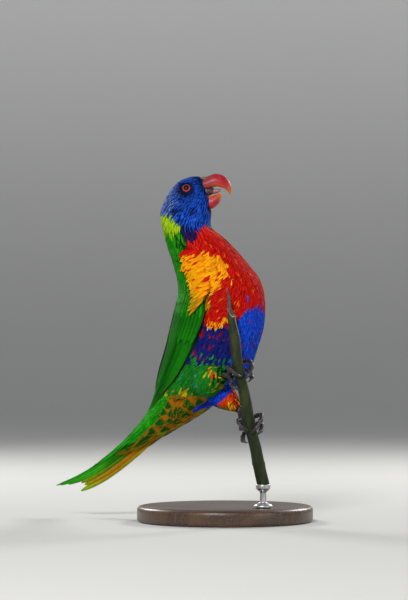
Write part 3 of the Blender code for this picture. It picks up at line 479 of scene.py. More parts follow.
# MARKINGS
# The colours of a wild lorikeet, patch by patch, shared by the skin and by every feather on it, with one
# patch of painted highlights on the breast.
# Each patch has five paints: at a feather's root, its middle, its tip, its two edges and its shaft.
PAINTS = {
    "head_blue": ((2, 4, 16), (4, 14, 70), (5, 21, 92), (1, 2, 16), (26, 94, 232)),
    "crown_grey": ((3, 4, 10), (9, 15, 42), (14, 25, 66), (2, 3, 10), (112, 138, 196)),
    "face_dark": ((2, 3, 10), (4, 8, 34), (6, 14, 58), (2, 3, 14), (22, 44, 112)),
    "throat_violet": ((10, 4, 16), (18, 9, 46), (40, 11, 42), (8, 4, 16), (34, 24, 92)),
    "collar_lime": ((60, 90, 10), (128, 172, 8), (152, 192, 10), (94, 142, 8), (170, 206, 34)),
    "back_green": ((6, 34, 6), (16, 118, 10), (14, 136, 10), (8, 88, 6), (50, 168, 16)),
    "mottle": ((10, 8, 6), (26, 50, 10), (14, 14, 10), (10, 10, 8), (40, 90, 16)),
    "breast_red": ((66, 4, 8), (186, 7, 8), (204, 11, 8), (104, 3, 5), (226, 38, 18)),
    # Orange feathers that are painted highlights on the red breast.
    "breast_painted_highlight": ((120, 20, 6), (222, 48, 8), (238, 92, 10), (180, 20, 6), (246, 120, 20)),
    "breast_orange": ((170, 40, 4), (250, 142, 2), (255, 176, 6), (232, 92, 2), (255, 170, 20)),
    "flank_olive": ((120, 40, 6), (206, 132, 6), (112, 122, 12), (96, 80, 8), (214, 150, 20)),
    "belly_blue": ((10, 12, 50), (14, 46, 184), (18, 62, 212), (6, 16, 92), (44, 104, 236)),
    "belly_barred": ((6, 6, 24), (15, 17, 76), (20, 27, 104), (6, 7, 36), (32, 44, 138)),
    "barred_red": ((12, 8, 34), (34, 12, 60), (168, 14, 26), (96, 8, 34), (136, 18, 42)),
    "vent_yellow": ((130, 66, 6), (164, 98, 8), (5, 78, 16), (150, 112, 10), (150, 112, 12)),
    "vent_plain": ((120, 66, 6), (156, 96, 8), (126, 128, 12), (84, 106, 12), (184, 108, 16)),
    "vent_rim": ((120, 46, 8), (168, 80, 14), (110, 160, 14), (96, 130, 14), (196, 110, 24)),
    "vent_blue": ((8, 12, 50), (14, 40, 178), (16, 54, 204), (6, 14, 88), (40, 92, 226)),
    "thigh_green": ((8, 36, 10), (18, 98, 20), (16, 122, 30), (8, 62, 14), (46, 150, 44)),
    # Teal feathers that are painted highlights on the thigh.
    "thigh_teal_highlight": ((6, 40, 30), (12, 96, 60), (24, 140, 96), (8, 60, 40), (70, 176, 120)),
    "thigh_red": ((90, 16, 6), (206, 44, 8), (214, 60, 10), (150, 24, 6), (226, 84, 20)),
    "thigh_yellow": ((120, 60, 6), (196, 150, 14), (150, 160, 20), (96, 110, 14), (214, 176, 30)),
    "tail_green": ((8, 50, 8), (15, 118, 12), (18, 142, 14), (6, 64, 8), (74, 184, 28)),
}
PATCHES = list(PAINTS)


def display_to_light(paints):
    """Turns colours given from 0 to 255 into the amounts of light that shaders take."""
    share = np.asarray(paints, float) / 255.0
    return np.where(share <= 0.04045, share / 12.92, ((share + 0.055) / 1.055) ** 2.4)


PAINT_TABLE = display_to_light(np.array([PAINTS[name] for name in PATCHES]))

# Where one patch gives way to the next, as pairs of angle round the body and section along it.
HEAD_END = (
    (0, 7.85), (20, 7.8), (34, 7.85), (46, 8.0), (60, 8.4), (72, 8.85), (82, 9.1), (88, 8.7), (94, 8.0),
    (102, 7.2), (112, 6.8), (126, 6.4), (180, 6.05),
)
# This one runs the other way: section, then angle.
BREAST_BACK = (
    (8.2, 72), (8.9, 76), (9.3, 82), (9.7, 88), (10.1, 92), (10.5, 94), (11, 98), (11.5, 95), (12.2, 97),
    (13.4, 96), (14, 90), (14.5, 84), (15.6, 90), (16.7, 96), (17.2, 108),
)
ORANGE_TOP = ((30, 11.2), (36, 10.85), (44, 10.5), (58, 10.25), (74, 10.1), (100, 10.2))
ORANGE_END = ((30, 11.2), (38, 11.4), (48, 11.9), (60, 12.5), (72, 13.2), (84, 13.6), (100, 13.5))
BELLY_TOP = (
    (0, 13.68), (14, 13.8), (24, 13.95), (38, 14.2), (50, 14.5), (62, 14.85), (76, 14.85), (90, 14.4),
)
BELLY_END = ((0, 17.25), (14, 17.15), (34, 16.85), (48, 16.62), (62, 16.7), (90, 16.7), (120, 16.7))


def edge_line(line, by):
    """Where the edge of a patch lies."""
    return np.interp(by, *np.array(line, float).T)


def patches_at(places, angles):
    """The number of the patch of plumage that each place on the body belongs to."""
    places, angles = np.broadcast_arrays(np.asarray(places, float), np.asarray(angles, float))
    turn = from_belly(angles)
    places = places + 0.06 * np.sin(turn * 0.9 + 3.0) + 0.04 * np.sin(turn * 2.3)
    patch = np.full(places.shape, PATCHES.index("back_green"))

    def lay(name, where):
        patch[where] = PATCHES.index(name)

    front = turn < edge_line(BREAST_BACK, places)
    head_end, belly_top, belly_end = (edge_line(line, turn) for line in (HEAD_END, BELLY_TOP, BELLY_END))
    lay("mottle", (places > 8.9) & (places < 10.5) & ~front & (turn < 106))
    lay("breast_red", front & (places < 17))
    band = (places > edge_line(ORANGE_TOP, turn)) & (places < edge_line(ORANGE_END, turn))
    lay("breast_orange", front & (turn > 30) & band)
    lay("flank_olive", front & (turn > 76) & (places > 12.6) & (places < 13.9))
    hem = (places > belly_top - 0.32) & (places < belly_top)
    lay("breast_orange", front & (turn > 46) & (turn < 82) & hem)
    belly = (places >= belly_top) & (places < belly_end) & (turn < 108)
    lay("belly_blue", belly & (turn < 34))
    lay("belly_barred", belly & (turn >= 34))
    under = places >= belly_end
    lay("thigh_green", under & (turn < 118) & (places < 19.0))
    lay("vent_yellow", under & (turn < 118) & (places >= 18.5 + 0.008 * (turn - 40)) & (places < 24))
    lay("vent_blue", under & (turn < 26) & (places > 17.2) & (places < 19.5 + 0.02 * turn))
    lay("vent_plain", under & (places > 23.1) & (turn < 118))
    lay("vent_rim", under & (turn < 24) & (places > 19.6))
    lay("tail_green", under & (turn >= 100 - 12 * (places - 19)) & (places > 19))
    lay("collar_lime", (places > 6) & (places < 8.8) & (turn > 72))
    head = places < head_end
    lay("head_blue", head)
    low_throat = (places < head_end + 0.50 * (turn > 50)) & (places > 7.55 + 0.012 * turn)
    lay("throat_violet", low_throat & (turn < 98))
    lay("crown_grey", head & (turn > 114) & (places > 2.6))
    return patch


def speckled(patch, places, angles, rng):
    """Strays single feathers of one patch into another, as they lie on the living bird, and strays orange
    painted highlights over the red breast.
    """
    turn = from_belly(angles)
    chance = rng.random(len(patch))
    made = patch.copy()

    def stray(name, into, share, where=True):
        picked = (patch == PATCHES.index(name)) & (chance < share) & where
        made[picked] = PATCHES.index(into)

    stray("crown_grey", "head_blue", 0.62 - 0.5 * ease(turn, 118, 160) * ease(places, 3.0, 5.0))
    stray("head_blue", "crown_grey", 0.12 + 0.30 * ease(turn, 88, 114), (turn > 82) & (places > 2.6))
    stray("head_blue", "face_dark", 0.10)
    stray("collar_lime", "mottle", 0.14, turn < 96)
    stray("collar_lime", "back_green", 0.6 * ease(places, 8.1, 8.9))
    stray("back_green", "collar_lime", 0.35 * (1 - ease(places, 8.8, 9.4)))
    stray("back_green", "mottle", 0.30 * (1 - ease(turn, 100, 128)), (places > 8.8) & (places < 12))
    stray("mottle", "back_green", 0.30)
    stray("breast_red", "throat_violet", 0.30 * (1 - ease(places, 9.0, 10.0)), turn > 62)
    # Orange painted highlights on the red breast, gathered toward the far side's silhouette as a painted rim
    # light.
    painted_highlight_chance = 0.05 + 0.35 * ease(-angles, 22, 40) * ease(places, 9.5, 10.5)
    stray("breast_red", "breast_painted_highlight", painted_highlight_chance, angles > -70)
    stray("breast_red", "belly_blue", 0.10 * ease(places, 13.0, 13.6), turn < 30)
    stray("breast_red", "breast_orange", 0.22, (turn > 36) & (turn < 62) & (places > 10.4) & (places < 12.6))
    low_orange = ease(places, 12.2, 13.4) * (1 - ease(turn, 76, 88))
    stray("breast_orange", "breast_red", 0.09 + 0.30 * low_orange)
    stray("flank_olive", "breast_orange", 0.35)
    bars = (0.12 + 0.12 * ease(turn, 62, 80)) * (1 + np.sin(places * 11.0 + 0.05 * turn))
    stray("belly_barred", "barred_red", bars)
    stray("belly_blue", "barred_red", 0.05)
    stray("belly_barred", "thigh_green", 0.35 * ease(places, 15.9, 16.7))
    stray("thigh_green", "belly_barred", 0.30 * (1 - ease(places, 16.7, 17.5)), turn < 84)
    stray("thigh_green", "thigh_yellow", 0.30 * ease(places, 17.8, 18.9))
    # Teal feathers here are painted highlights.
    stray("thigh_green", "thigh_teal_highlight", 0.12, chance > 0.30 * ease(places, 17.8, 18.9))
    stray("vent_yellow", "vent_plain", 0.05)
    stray("vent_rim", "vent_yellow", 0.25)
    stray("vent_blue", "belly_blue", 0.3)
    return made


def paints_at(places, angles, rng=None):
    """The five paints of a feather at each place, with strays where random draws are given."""
    patch = patches_at(places, angles)
    return PAINT_TABLE[patch if rng is None else speckled(patch, places, angles, rng)]


# A map of the body finds the section and the angle that lie nearest to any point.
map_places = np.linspace(0, TAIL_ROOT + 1, 241)
map_angles = np.arange(-180, 180, 3.0)
mapped = on_body(*np.meshgrid(map_places, map_angles, indexing="ij")).reshape(-1, 3)
tree = kdtree.KDTree(len(mapped))
for number, spot in enumerate(mapped.tolist()):
    tree.insert(spot, number)
tree.balance()


def nearest_on_body(points):
    """The place on the map nearest to each point, as its number, section and angle."""
    nearest = np.array([tree.find(spot)[1] for spot in points.tolist()])
    return nearest, map_places[nearest // len(map_angles)], map_angles[nearest % len(map_angles)]


SKIN_SHADE = 0.30
points = np.empty(len(fused.vertices) * 3)
fused.vertices.foreach_get("co", points)
points = points.reshape(-1, 3) * 1000.0
nearest, places, angles = nearest_on_body(points)
skin_paint = paints_at(places, angles)[:, 1] * SKIN_SHADE
for side, (hip, ankle, _) in THIGHS.items():
    hip, ankle = np.array(hip), np.array(ankle)
    along = np.clip(((points - hip) @ (ankle - hip)) / np.sum((ankle - hip) ** 2), 0, 1)
    spoke = np.linalg.norm(points - hip - along[:, None] * (ankle - hip), axis=1)
    body_gap = np.linalg.norm(points - mapped[nearest], axis=1)
    on_leg = (along > 0.25) & (spoke < 14) & (body_gap > 1.5)
    own_patch = PATCHES.index("thigh_green" if side > 0 else "thigh_red")
    skin_paint[on_leg] = PAINT_TABLE[own_patch, 1] * SKIN_SHADE
carry(fused, "plume", "FLOAT_COLOR", np.concatenate([skin_paint, np.ones((len(points), 1))], 1))

feathered_skin, shader, place = new_finish("feathered_skin", Specular_IOR_Level=0.1)
paint = place.carried("plume", 0)
pimples = place.node("TexVoronoi", {}, {"Vector": place, "Scale": 900.0})
down = place.clouds(1400.0, 4.0)
paint = paint.tinted((0.015, 0.012, 0.010), pimples.between(0.10, 0.45, 0.5, 0.0))
paint.tinted((0.10, 0.09, 0.08), down.between(0.6, 0.8) * 0.10).into(shader, "Base Color")
(0.72 + 0.16 * down).into(shader, "Roughness")
place.relief(shader, pimples * 0.6 + down * 0.5, 0.5, 0.0002)
fused.materials.clear()
fused.materials.append(feathered_skin)
fused.shade_smooth()
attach(skin, "root")
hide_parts("head", "neck", "torso", "thigh_right", "thigh_left")


# BODY FEATHERS
# Thin overlapping vanes rooted in the skin in staggered rows, which lie back along the body. They
# are hair-fine round the bill and eyes, lance-shaped on the head and broad on breast and back.
BILL_ROOT = np.array((-11.5, 9.2, 256.5))
EYE_AT = (2.8, 92.0)
COAT_TRIANGLES = 190000


def dot(one, two):
    return np.sum(one * two, -1)


def steps_toward(lie, first, second):
    """How far to step along two directions of a surface, to go one millimetre the way a feather lies."""
    ff, fs, ss = dot(first, first), dot(first, second), dot(second, second)
    lf, ls = dot(lie, first), dot(lie, second)
    size = ff * ss - fs * fs
    return np.stack([(lf * ss - ls * fs) / size, (ls * ff - lf * fs) / size], -1)


def heading(places, angles, sweep=0.0):
    """Which way a feather lies on the body, as steps of section and angle for each millimetre.

    On the head it lies away from the bill. Below that it lies down the body, swept round towards
    the back by so many degrees.
    """
    down = (on_body(places + 0.05, angles) - on_body(places - 0.05, angles)) / 0.1
    round_ = (on_body(places, angles + 1.0) - on_body(places, angles - 1.0)) / 2.0
    normal = body_outward(places, angles)
    side = unit(np.cross(normal, unit(down)))
    side = np.where(dot(side, round_)[..., None] < 0, -side, side)
    turn = (np.asarray(angles) + 180.0) % 360.0 - 180.0
    lean = np.radians(sweep) * np.sign(turn)
    lie = unit(down) * np.cos(lean)[..., None] + side * np.sin(lean)[..., None]
    away = on_body(places, angles) - BILL_ROOT
    away = unit(away - normal * dot(away, normal)[..., None])
    share = (1.0 - ease(places, 5.6, 8.4))[..., None]
    return steps_toward(unit(lie * (1 - share) + away * share), down, round_)


def rows_of_roots(start, end, across, along, seed):
    """Staggered roots all round the body between two sections, so many millimetres apart."""
    jitter = 0.20
    rng = np.random.default_rng(seed)
    fine = np.linspace(start, end, 400)
    middle, _, _, depth, width = body_frame(fine)
    gone = np.concatenate([[0], np.cumsum(np.linalg.norm(np.diff(middle, axis=0), axis=1))])
    girth = np.pi * (depth + width)
    found = []
    for number, reach in enumerate(np.arange(0.3 * along, gone[-1], along)):
        place = np.interp(reach, gone, fine)
        count = max(int(np.interp(place, fine, girth) / across), 5)
        angles = (np.arange(count) + 0.5 * (number % 2)) * 360.0 / count - 180.0
        angles = angles + rng.normal(0, jitter, count) * 360.0 / count
        places = place + rng.normal(0, jitter, count) * along * (fine[-1] - fine[0]) / gone[-1]
        found.append(np.stack([places, angles], -1))
    return np.concatenate(found)


def lay_vanes(name, surface, starts, ends, half_widths, rises, paints, unwrap, finish, slot, replaced=(),
              steps=6, strands=3, blunt=0.5, thick=0.28, lean=0.0, curve=0.5, arch=0.20, ragged=0.10,
              split=0.0, seed=1, shaft_rise=0.12, tip_from=0.62, spot=False, uneven=0.13,
              rim_paint=0.8, rim_tight=2.0, rim_side=0, shaft_paint=0.75, shaft_tight=2.0):
    """Builds many feathers as closed thin vanes on a surface given by two values.

    starts and ends hold the two values at each root and tip. rises holds the height of the root
    and of the tip over the surface. paints holds five colours for each feather. blunt runs from 0,
    a pointed vane, to 1, a broad round one. ragged and split roughen its edge and its tip. lean
    tips it round its shaft by so many degrees. spot gathers the tip's paint into one round spot.
    rim_side keeps the rim's paint to one edge. Long lists are cut into pieces of a fixed size.
    """
    # Each feather's shaft line, and the ways ahead, across and out from it.
    rng = np.random.default_rng(seed)
    count = len(starts)
    t = np.linspace(0, 1, steps) ** 0.9
    root_rise, tip_rise = (np.broadcast_to(np.asarray(rise, float), (count,)) for rise in rises)
    way = starts[:, None] + (ends - starts)[:, None] * t[None, :, None]
    first, second = way[..., 0], way[..., 1]
    base = surface(first, second)
    smooth = facing(surface, first, second, surface(first, second, 1.0) - base)
    rise = root_rise[:, None] + (tip_rise - root_rise)[:, None] * t[None] ** curve
    line = base + smooth * rise[..., None]
    ahead = unit(np.gradient(line, axis=1))
    normal = unit(smooth - ahead * dot(smooth, ahead)[..., None])
    across = np.cross(ahead, normal)
    if lean:
        tilt = np.radians(np.full((count, 1, 1), float(lean)))
        across, normal = (np.cos(tilt) * across + np.sin(tilt) * normal,
                          np.cos(tilt) * normal - np.sin(tilt) * across)

    # The vane's outline, and its two curved faces.
    opening = 0.42 + 0.58 * ease(t, 0.0, 0.34)
    round_tip = np.sqrt(np.maximum(1.0 - np.maximum(0.0, (t - 0.55) / 0.46) ** 2, 0.0))
    closing = round_tip * blunt + (1 - ease(t, 0.35, 1.04)) * (1 - blunt)
    notch = 1 + ragged * rng.normal(size=(count, steps)) * (t[None] > 0.5)
    width = np.maximum(half_widths[:, None] * (opening * closing)[None] * notch, 0.05)[..., None]
    u = np.linspace(-1, 1, strands)
    back = u[1:-1][::-1]
    half_thick = (0.5 * thick * (0.35 + 0.65 * (1 - t)))[None, :, None]
    lens, back_lens = 1 - np.abs(u) ** 2, 1 - np.abs(back) ** 2
    top = line[:, :, None] + across[:, :, None] * (width * u)[..., None]
    top = top + normal[:, :, None] * (half_thick * lens + shaft_rise * width * lens)[..., None]
    under = line[:, :, None] + across[:, :, None] * (width * back)[..., None]
    under = under + normal[:, :, None] * (shaft_rise * width * back_lens - half_thick * back_lens)[..., None]
    facings = np.concatenate([
        unit(smooth[:, :, None] * 0.6 + normal[:, :, None] * 0.4 + arch * across[:, :, None] * u[:, None]),
        np.repeat(-normal[:, :, None], strands - 2, 2)], 2)
    if split:
        fringe = rng.normal(size=(count, strands)) * split
        top[:, -1] += ahead[:, -1, None] * fringe[..., None] * half_widths[:, None, None]
    ring = np.concatenate([top, under], 2)
    around = ring.shape[2]
    u_ring = np.concatenate([u, back])
    from_shaft = np.abs(u_ring)[None, None, :, None]

    # Its paints run from root to tip, with the rim and the shaft laid over them.
    root, middle, tip, rim, shaft = np.moveaxis(paints, 1, 0)[:, :, None, None]
    own = 1.0 + uneven * rng.normal(size=(count, 1, 1, 1))
    k = t[None, :, None, None]
    colour = root * (1 - ease(k, 0.05, 0.45)) + middle * ease(k, 0.05, 0.45)
    tipped = ease(k, tip_from, tip_from + 0.36)
    if spot:
        tipped = ease(k, tip_from, tip_from + 0.10) * (1 - ease(k, 0.95, 1.0))
        tipped = tipped * (1 - ease(from_shaft, 0.74, 1.05))
    colour = colour * (1 - tipped) + tip * tipped
    edged = from_shaft ** rim_tight * rim_paint * ease(k, 0.15, 0.6) * (1 - 0.5 * ease(k, 0.85, 1.0))
    edged = edged * (1 - (tip_from < 0.6) * tipped)
    if rim_side:
        edged = edged * (u_ring * rim_side > 0)[None, None, :, None]
    colour = colour * (1 - edged) + rim * edged
    shafted = (1 - from_shaft) ** shaft_tight * shaft_paint * ease(k, 0.1, 0.5) * (1 - ease(k, 0.8, 1.0))
    colour = np.clip((colour * (1 - shafted) + shaft * shafted) * own, 0, 1)

    # What the finish reads: millimetres across and along the vane, and a random number of its own.
    length = np.linalg.norm(np.diff(line, axis=1), axis=2).sum(1)
    own_number = rng.random(count)[:, None, None]
    barb = np.stack(np.broadcast_arrays(width * u_ring, (length[:, None] * t)[..., None], own_number), -1)
    patch = 0.003
    uv = np.stack(np.broadcast_arrays(
        unwrap[:, 0, None, None] + patch * (u_ring[None, None] * 0.5 + 0.5),
        unwrap[:, 1, None, None] + patch * t[None, :, None]), -1)

    share = max(1, COAT_TRIANGLES // (2 * (steps - 1) * around + 2 * (around - 2)))
    one_side = np.array(tube_faces(steps, around, False, False))
    one_caps = np.array([list(range(around))[::-1], [(steps - 1) * around + i for i in range(around)]])
    for number, begin in enumerate(range(0, count, share)):
        part = slice(begin, min(begin + share, count))
        offset = np.arange(part.stop - part.start)[:, None, None] * steps * around
        faces = (one_side[None] + offset).reshape(-1, 4).tolist()
        faces += (one_caps[None] + offset).reshape(-1, around).tolist()
        label = name if count <= share else f"{name}_{number + 1}"
        mesh = bpy.data.meshes.new(label)
        mesh.from_pydata((ring[part].reshape(-1, 3) * 0.001).tolist(), [], faces)
        opaque = np.ones_like(colour[part][..., :1])
        carry(mesh, "plume", "FLOAT_COLOR", np.concatenate([colour[part], opaque], -1))
        carry(mesh, "barb", "FLOAT_VECTOR", barb[part])
        corner = np.empty(len(mesh.loops), np.int32)
        mesh.loops.foreach_get("vertex_index", corner)
        spread = uv[part].reshape(-1, 2)[corner].astype(np.float32)
        mesh.uv_layers.new(name="OFBake").data.foreach_set("uv", spread.ravel())
        mesh.materials.append(finish)
        mesh.shade_smooth()
        mesh.normals_split_custom_set_from_vertices(facings[part].reshape(-1, 3))
        piece = bpy.data.objects.new(label, mesh)
        bpy.context.scene.collection.objects.link(piece)
        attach(piece, "root")
    if replaced:
        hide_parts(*replaced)


def feather_finish(name, barb_step, gloss, fleck, **settings):
    """Feather colour from the vanes' own paints, with fine barbs running out from the shaft."""
    material, shader, place = new_finish(name, **settings)
    paint, barb = place.carried("plume", 0), place.carried("barb", 1)
    out, down, own = barb.axis(0), barb.axis(1), barb.axis(2)
    run = down - out.math("ABSOLUTE", out) * 1.2
    wave = run.math("SINE", run * (6.283 / barb_step)) * 0.5 + 0.5
    strands = barb.stretched((0.5, 0.12, 7.0)).clouds(9.0, 3.0)
    cloud = place.clouds(260.0, 2.0)
    split = strands.between(0.66, 0.74)
    shade = paint.tinted((0.0, 0.0, 0.0), wave * 0.10 + split * 0.35)
    bright = paint.tinted((1.0, 1.0, 1.0), 0.5, "SOFT_LIGHT")
    shade = shade.tinted(bright, strands.between(0.30, 0.62) * fleck)
    shade.tinted((0.0, 0.0, 0.0), cloud.between(0.55, 0.25) * 0.16).into(shader, "Base Color")
    (gloss + 0.14 * strands + 0.05 * own).into(shader, "Roughness")
    place.relief(shader, wave * 0.5 + strands * 0.7, 0.5, 0.00012)
    return material


def on_unwrap(places, angles):
    """Where a root lies on an unwrap of the body: angle across it, and section down it."""
    low, high = 0.01, 0.97
    u = low + (high - low) * ((np.asarray(angles) + 180.0) % 360.0) / 360.0
    return np.stack([u, low + (high - low) * np.asarray(places) / len(SECTIONS)], -1)


def wing_share(places, angles):
    """How far across the folded wing a place lies: 0 at its low edge, 1 at its top, -1 off the wing."""
    low, top, _, _ = folded_wing(places)
    share = (from_belly(angles) - low) / (top - low)
    return np.where((places > WING_ROWS[0, 0]) & (places < 21.0), share, -1.0)


def eye_gap(places, angles):
    """Distance in millimetres from a place on the head to the nearer eye."""
    spot = on_body(places, angles)
    gaps = [np.linalg.norm(spot - on_body(EYE_AT[0], s * EYE_AT[1]), axis=-1) for s in (1, -1)]
    return np.minimum(*gaps)


def bare_of_feathers(places, angles):
    """The bill's root, the eyes and the places that a wing hides carry no body feathers."""
    x, _, z = np.moveaxis(on_body(places, angles), -1, 0)
    bill = ((x > -15.2) & (z > 246.8)) | ((x > -12.4) & (z > 235.5) & (z < 249))
    wing = wing_share(places, angles)
    hidden = (wing > 0.08) & (wing < 0.95) & (places > 11.35) & (places < 18.6)
    return bill | (eye_gap(places, angles) < 3.9) | hidden


def coat(start, end, across, along, length, half_width, seed, keep=None, sweep=None,
         rises=(0.10, 0.35), paint_at=0.75):
    """Roots, tips, widths, heights, paints and unwrap of one tract of feathers between two sections.

    across and along space the roots. length and half_width are numbers, or functions of place.
    """
    places, angles = rows_of_roots(start, end, across, along, seed).T
    stays = ~bare_of_feathers(places, angles) & (places > 0.05)
    if keep is not None:
        stays &= keep(places, angles)
    places, angles = places[stays], angles[stays]
    rng = np.random.default_rng(seed + 100)
    turn = sweep(places, angles) if sweep else 0.0
    step = heading(places, angles, turn + rng.normal(0, 5.0, len(places)))
    reach = length(places, angles) if callable(length) else np.full(len(places), float(length))
    reach = reach * (1 + 0.10 * rng.normal(size=len(places)))
    fits = places + step[:, 0] * reach > 0.0
    places, angles, step, reach = places[fits], angles[fits], step[fits], reach[fits]
    roots = np.stack([places, angles], -1)
    ends = roots + step * reach[:, None]
    wide = half_width(places, angles) if callable(half_width) else np.full(len(places), float(half_width))
    spots = roots + step * reach[:, None] * paint_at
    paints = paints_at(spots[:, 0], spots[:, 1], rng)
    # Roots go down to the skin. Tips lie over the coat, or over the front edge of the folded wing.
    sunk = np.minimum(coat_depth(places) + wing_bed(places, angles), 0.85 * body_frame(places)[3])
    over_wing = (wing_share(*ends.T) > -0.04) & (wing_share(*ends.T) < 1.04) & (places < 11.6)
    wing_top = folded_wing(ends[:, 0])[2] + 0.55
    bedded = -wing_bed(np.clip(ends[:, 0], 0, 27), ends[:, 1]) + rises[1] - 0.35
    upper = np.where(over_wing, wing_top, bedded)
    lower = np.where(over_wing & (places > 10.4), wing_top - 1.1, -sunk + rises[0])
    return roots, ends, wide, (lower, upper), paints, on_unwrap(places, angles)


plumes_head = feather_finish("head_plumes", 0.55, 0.46, 0.5, Specular_IOR_Level=0.05)
plumes_body = feather_finish("body_plumes", 0.60, 0.58, 0.4, Specular_IOR_Level=0.04)


def clear_of_face(places, angles):
    """Distance in millimetres from the nearer of the eye's lid and the bill's root."""
    from_bill = np.linalg.norm(on_body(places, angles) - BILL_ROOT, axis=-1)
    return np.minimum(eye_gap(places, angles) - 3.4, from_bill - 5.0)


def head_coat(*tract, **choices):
    """A tract of the head's feathers, blackened round the eyes and between them and the bill."""
    roots, ends, wide, rises, paints, unwrap = coat(*tract, **choices)
    spots = roots + 0.5 * (ends - roots)
    from_bill = np.linalg.norm(on_body(*spots.T) - BILL_ROOT, axis=1)
    dark = np.maximum(ease(-eye_gap(*spots.T), -8.5, -4.6), 0.75 * ease(-from_bill, -18.0, -7.0))
    dark = (dark * (roots[:, 0] < 7.5))[:, None, None]
    paints = paints * (1 - 0.9 * dark) + PAINT_TABLE[PATCHES.index("face_dark")] * 0.9 * dark
    return roots, ends, wide, rises, paints, unwrap


def head_end(angles):
    """The section where the head's blue feathers give way to the collar and the breast."""
    return edge_line(HEAD_END, from_belly(angles))


# The head's coat: hair-fine round the bill and eyes, then narrow lances with a bright shaft.
lay_vanes(
    "face_coat", on_body, *head_coat(
        0.05, 7.2, 1.05, 1.1, lambda p, a: 1.6 + 3.4 * ease(clear_of_face(p, a), 0.0, 9.0),
        lambda p, a: 0.34 + 0.34 * ease(clear_of_face(p, a), 0.0, 9.0), 11,
        keep=lambda p, a: clear_of_face(p, a) < 10.5),
    plumes_head, "feather_blue", steps=5, blunt=0.25, thick=0.12, seed=12, shaft_rise=0.14)
lay_vanes(
    "head_coat", on_body, *head_coat(
        0.3, 9.9, 1.95, 1.6, lambda p, a: 4.6 + 4.4 * ease(clear_of_face(p, a), 4.0, 18.0),
        lambda p, a: 0.74 + 0.46 * ease(clear_of_face(p, a), 4.0, 18.0), 13,
        keep=lambda p, a: (clear_of_face(p, a) > 6.0) & (p < head_end(a) + 0.05)),
    plumes_head, "feather_blue", steps=7, strands=5, blunt=0.25, thick=0.14, seed=14, shaft_rise=0.15,
    rim_paint=1.0, shaft_paint=1.0, uneven=0.25, arch=0.5)


# The crown is a low dome over the first section, so its coat lies on its own map of X and Y.
def on_crown(xs, ys, rise=0.0):
    xs, ys = np.broadcast_arrays(np.asarray(xs, float), np.asarray(ys, float))
    rings = np.linspace(0.0, 2.0, 41)
    centre, belly, right, depth, width = body_frame(rings)
    gap = np.stack([xs, ys], -1)[..., None, :] - centre[:, :2]
    ahead, aside = np.abs(dot(gap, belly[:, :2]) / depth), np.abs(dot(gap, right[:, :2]) / width)
    size = (ahead ** FULLNESS + aside ** FULLNESS) ** (1 / FULLNESS)
    ring = np.clip(np.sum(size > 1, -1), 1, 40)
    before, after = (np.take_along_axis(size, (ring + k)[..., None], -1)[..., 0] for k in (-1, 0))
    place = rings[ring] - rings[1] * np.clip((1 - after) / np.maximum(before - after, 1e-6), 0, 1)
    height = body_frame(place)[0][..., 2] + 0.35 * (1 - np.minimum(size[..., 0], 1.0) ** 2)
    return np.stack([xs, ys, height + rise], -1)


# The cere, a bare pad at the bill's root that is made with the bill: its centre and half sizes. No
# crown feather is rooted on it.
CERE_AT, CERE_SIZE = (-15.4, 9.4, 257.0), (3.1, 5.1, 1.95)
rng = np.random.default_rng(15)
xs, ys = np.meshgrid(np.arange(-30.5, -16.0, 1.0), np.arange(2.0, 20.5, 1.0), indexing="ij")
ys = ys + 0.5 * (np.arange(len(xs)) % 2)[:, None]
roots = np.stack([xs, ys], -1).reshape(-1, 2) + rng.normal(0, 0.16, (xs.size, 2))
off_cere = np.sum(((roots - CERE_AT[:2]) / CERE_SIZE[:2]) ** 2, -1) > 0.95
roots = roots[(on_crown(*roots.T)[:, 2] > 256.3) & off_cere]
away = roots - BILL_ROOT[:2]
from_bill = np.linalg.norm(away, axis=1)
reach = 2.2 + 3.0 * ease(from_bill, 6.0, 16.0)
ends = roots + away / from_bill[:, None] * reach[:, None] + rng.normal(0, 0.16, roots.shape)
dark = (0.85 * ease(-from_bill, -15.0, -7.0))[:, None, None]
blue, grey, face = (PAINT_TABLE[PATCHES.index(name)] for name in ("head_blue", "crown_grey", "face_dark"))
paints = np.where((rng.random(len(roots)) < 0.12)[:, None, None], grey, blue)
lay_vanes(
    "crown_coat", on_crown, roots, ends, 0.38 + 0.36 * ease(from_bill, 7.0, 16.0), (-0.45, 0.22),
    paints * (1 - dark) + face * dark, 0.02 + 0.95 * (roots - roots.min(0)) / np.ptp(roots, axis=0),
    plumes_head, "feather_blue", blunt=0.25, thick=0.12, seed=16, shaft_rise=0.14, rim_paint=1.0,
    shaft_paint=0.9, uneven=0.22)


# Neck, back and breast: broader vanes, ragged at their tips, swept round over the wing's bend.
def flank_sweep(places, angles):
    turn = from_belly(angles)
    breast = ease(places, 8.6, 10.4) * (1 - 0.45 * ease(places, 12.3, 13.2)) * (1 - ease(places, 13.2, 14.4))
    belly = ease(places, 13, 14.5) * ease(turn, 5, 40) * (1 - ease(turn, 88, 110))
    return 80.0 * breast * ease(turn, 10.0, 58.0) * (1 - ease(turn, 98, 114)) + 16.0 * belly


lay_vanes(
    "breast_coat", on_body, *coat(
        5.2, 14.3, 1.55, 1.75, lambda p, a: 6.5 + 3.0 * ease(p, 7, 9),
        lambda p, a: 1.30 + 0.25 * ease(p, 7, 9), 21, sweep=flank_sweep,
        keep=lambda p, a: p > head_end(a) - 0.25),
    plumes_body, "feather_red", blunt=0.42, thick=0.10, seed=22, split=0.30, shaft_rise=0.03,
    rim_paint=0.62, shaft_paint=0.60, uneven=0.15)
lay_vanes(
    "belly_coat", on_body, *coat(13.5, 17.4, 1.8, 1.9, 9.0, 1.8, 31, sweep=flank_sweep),
    plumes_body, "feather_red", blunt=0.45, thick=0.10, seed=32, split=0.35, shaft_rise=0.04,
    rim_paint=0.45, shaft_paint=0.6, uneven=0.16)


def under_tail(places, angles):
    """Which places belong to the large spotted feathers under the tail's root."""
    turn = from_belly(angles)
    return (places > 18.0 + 0.006 * turn) & (turn < 100 - 12 * (places - 19)) & (turn > 18)


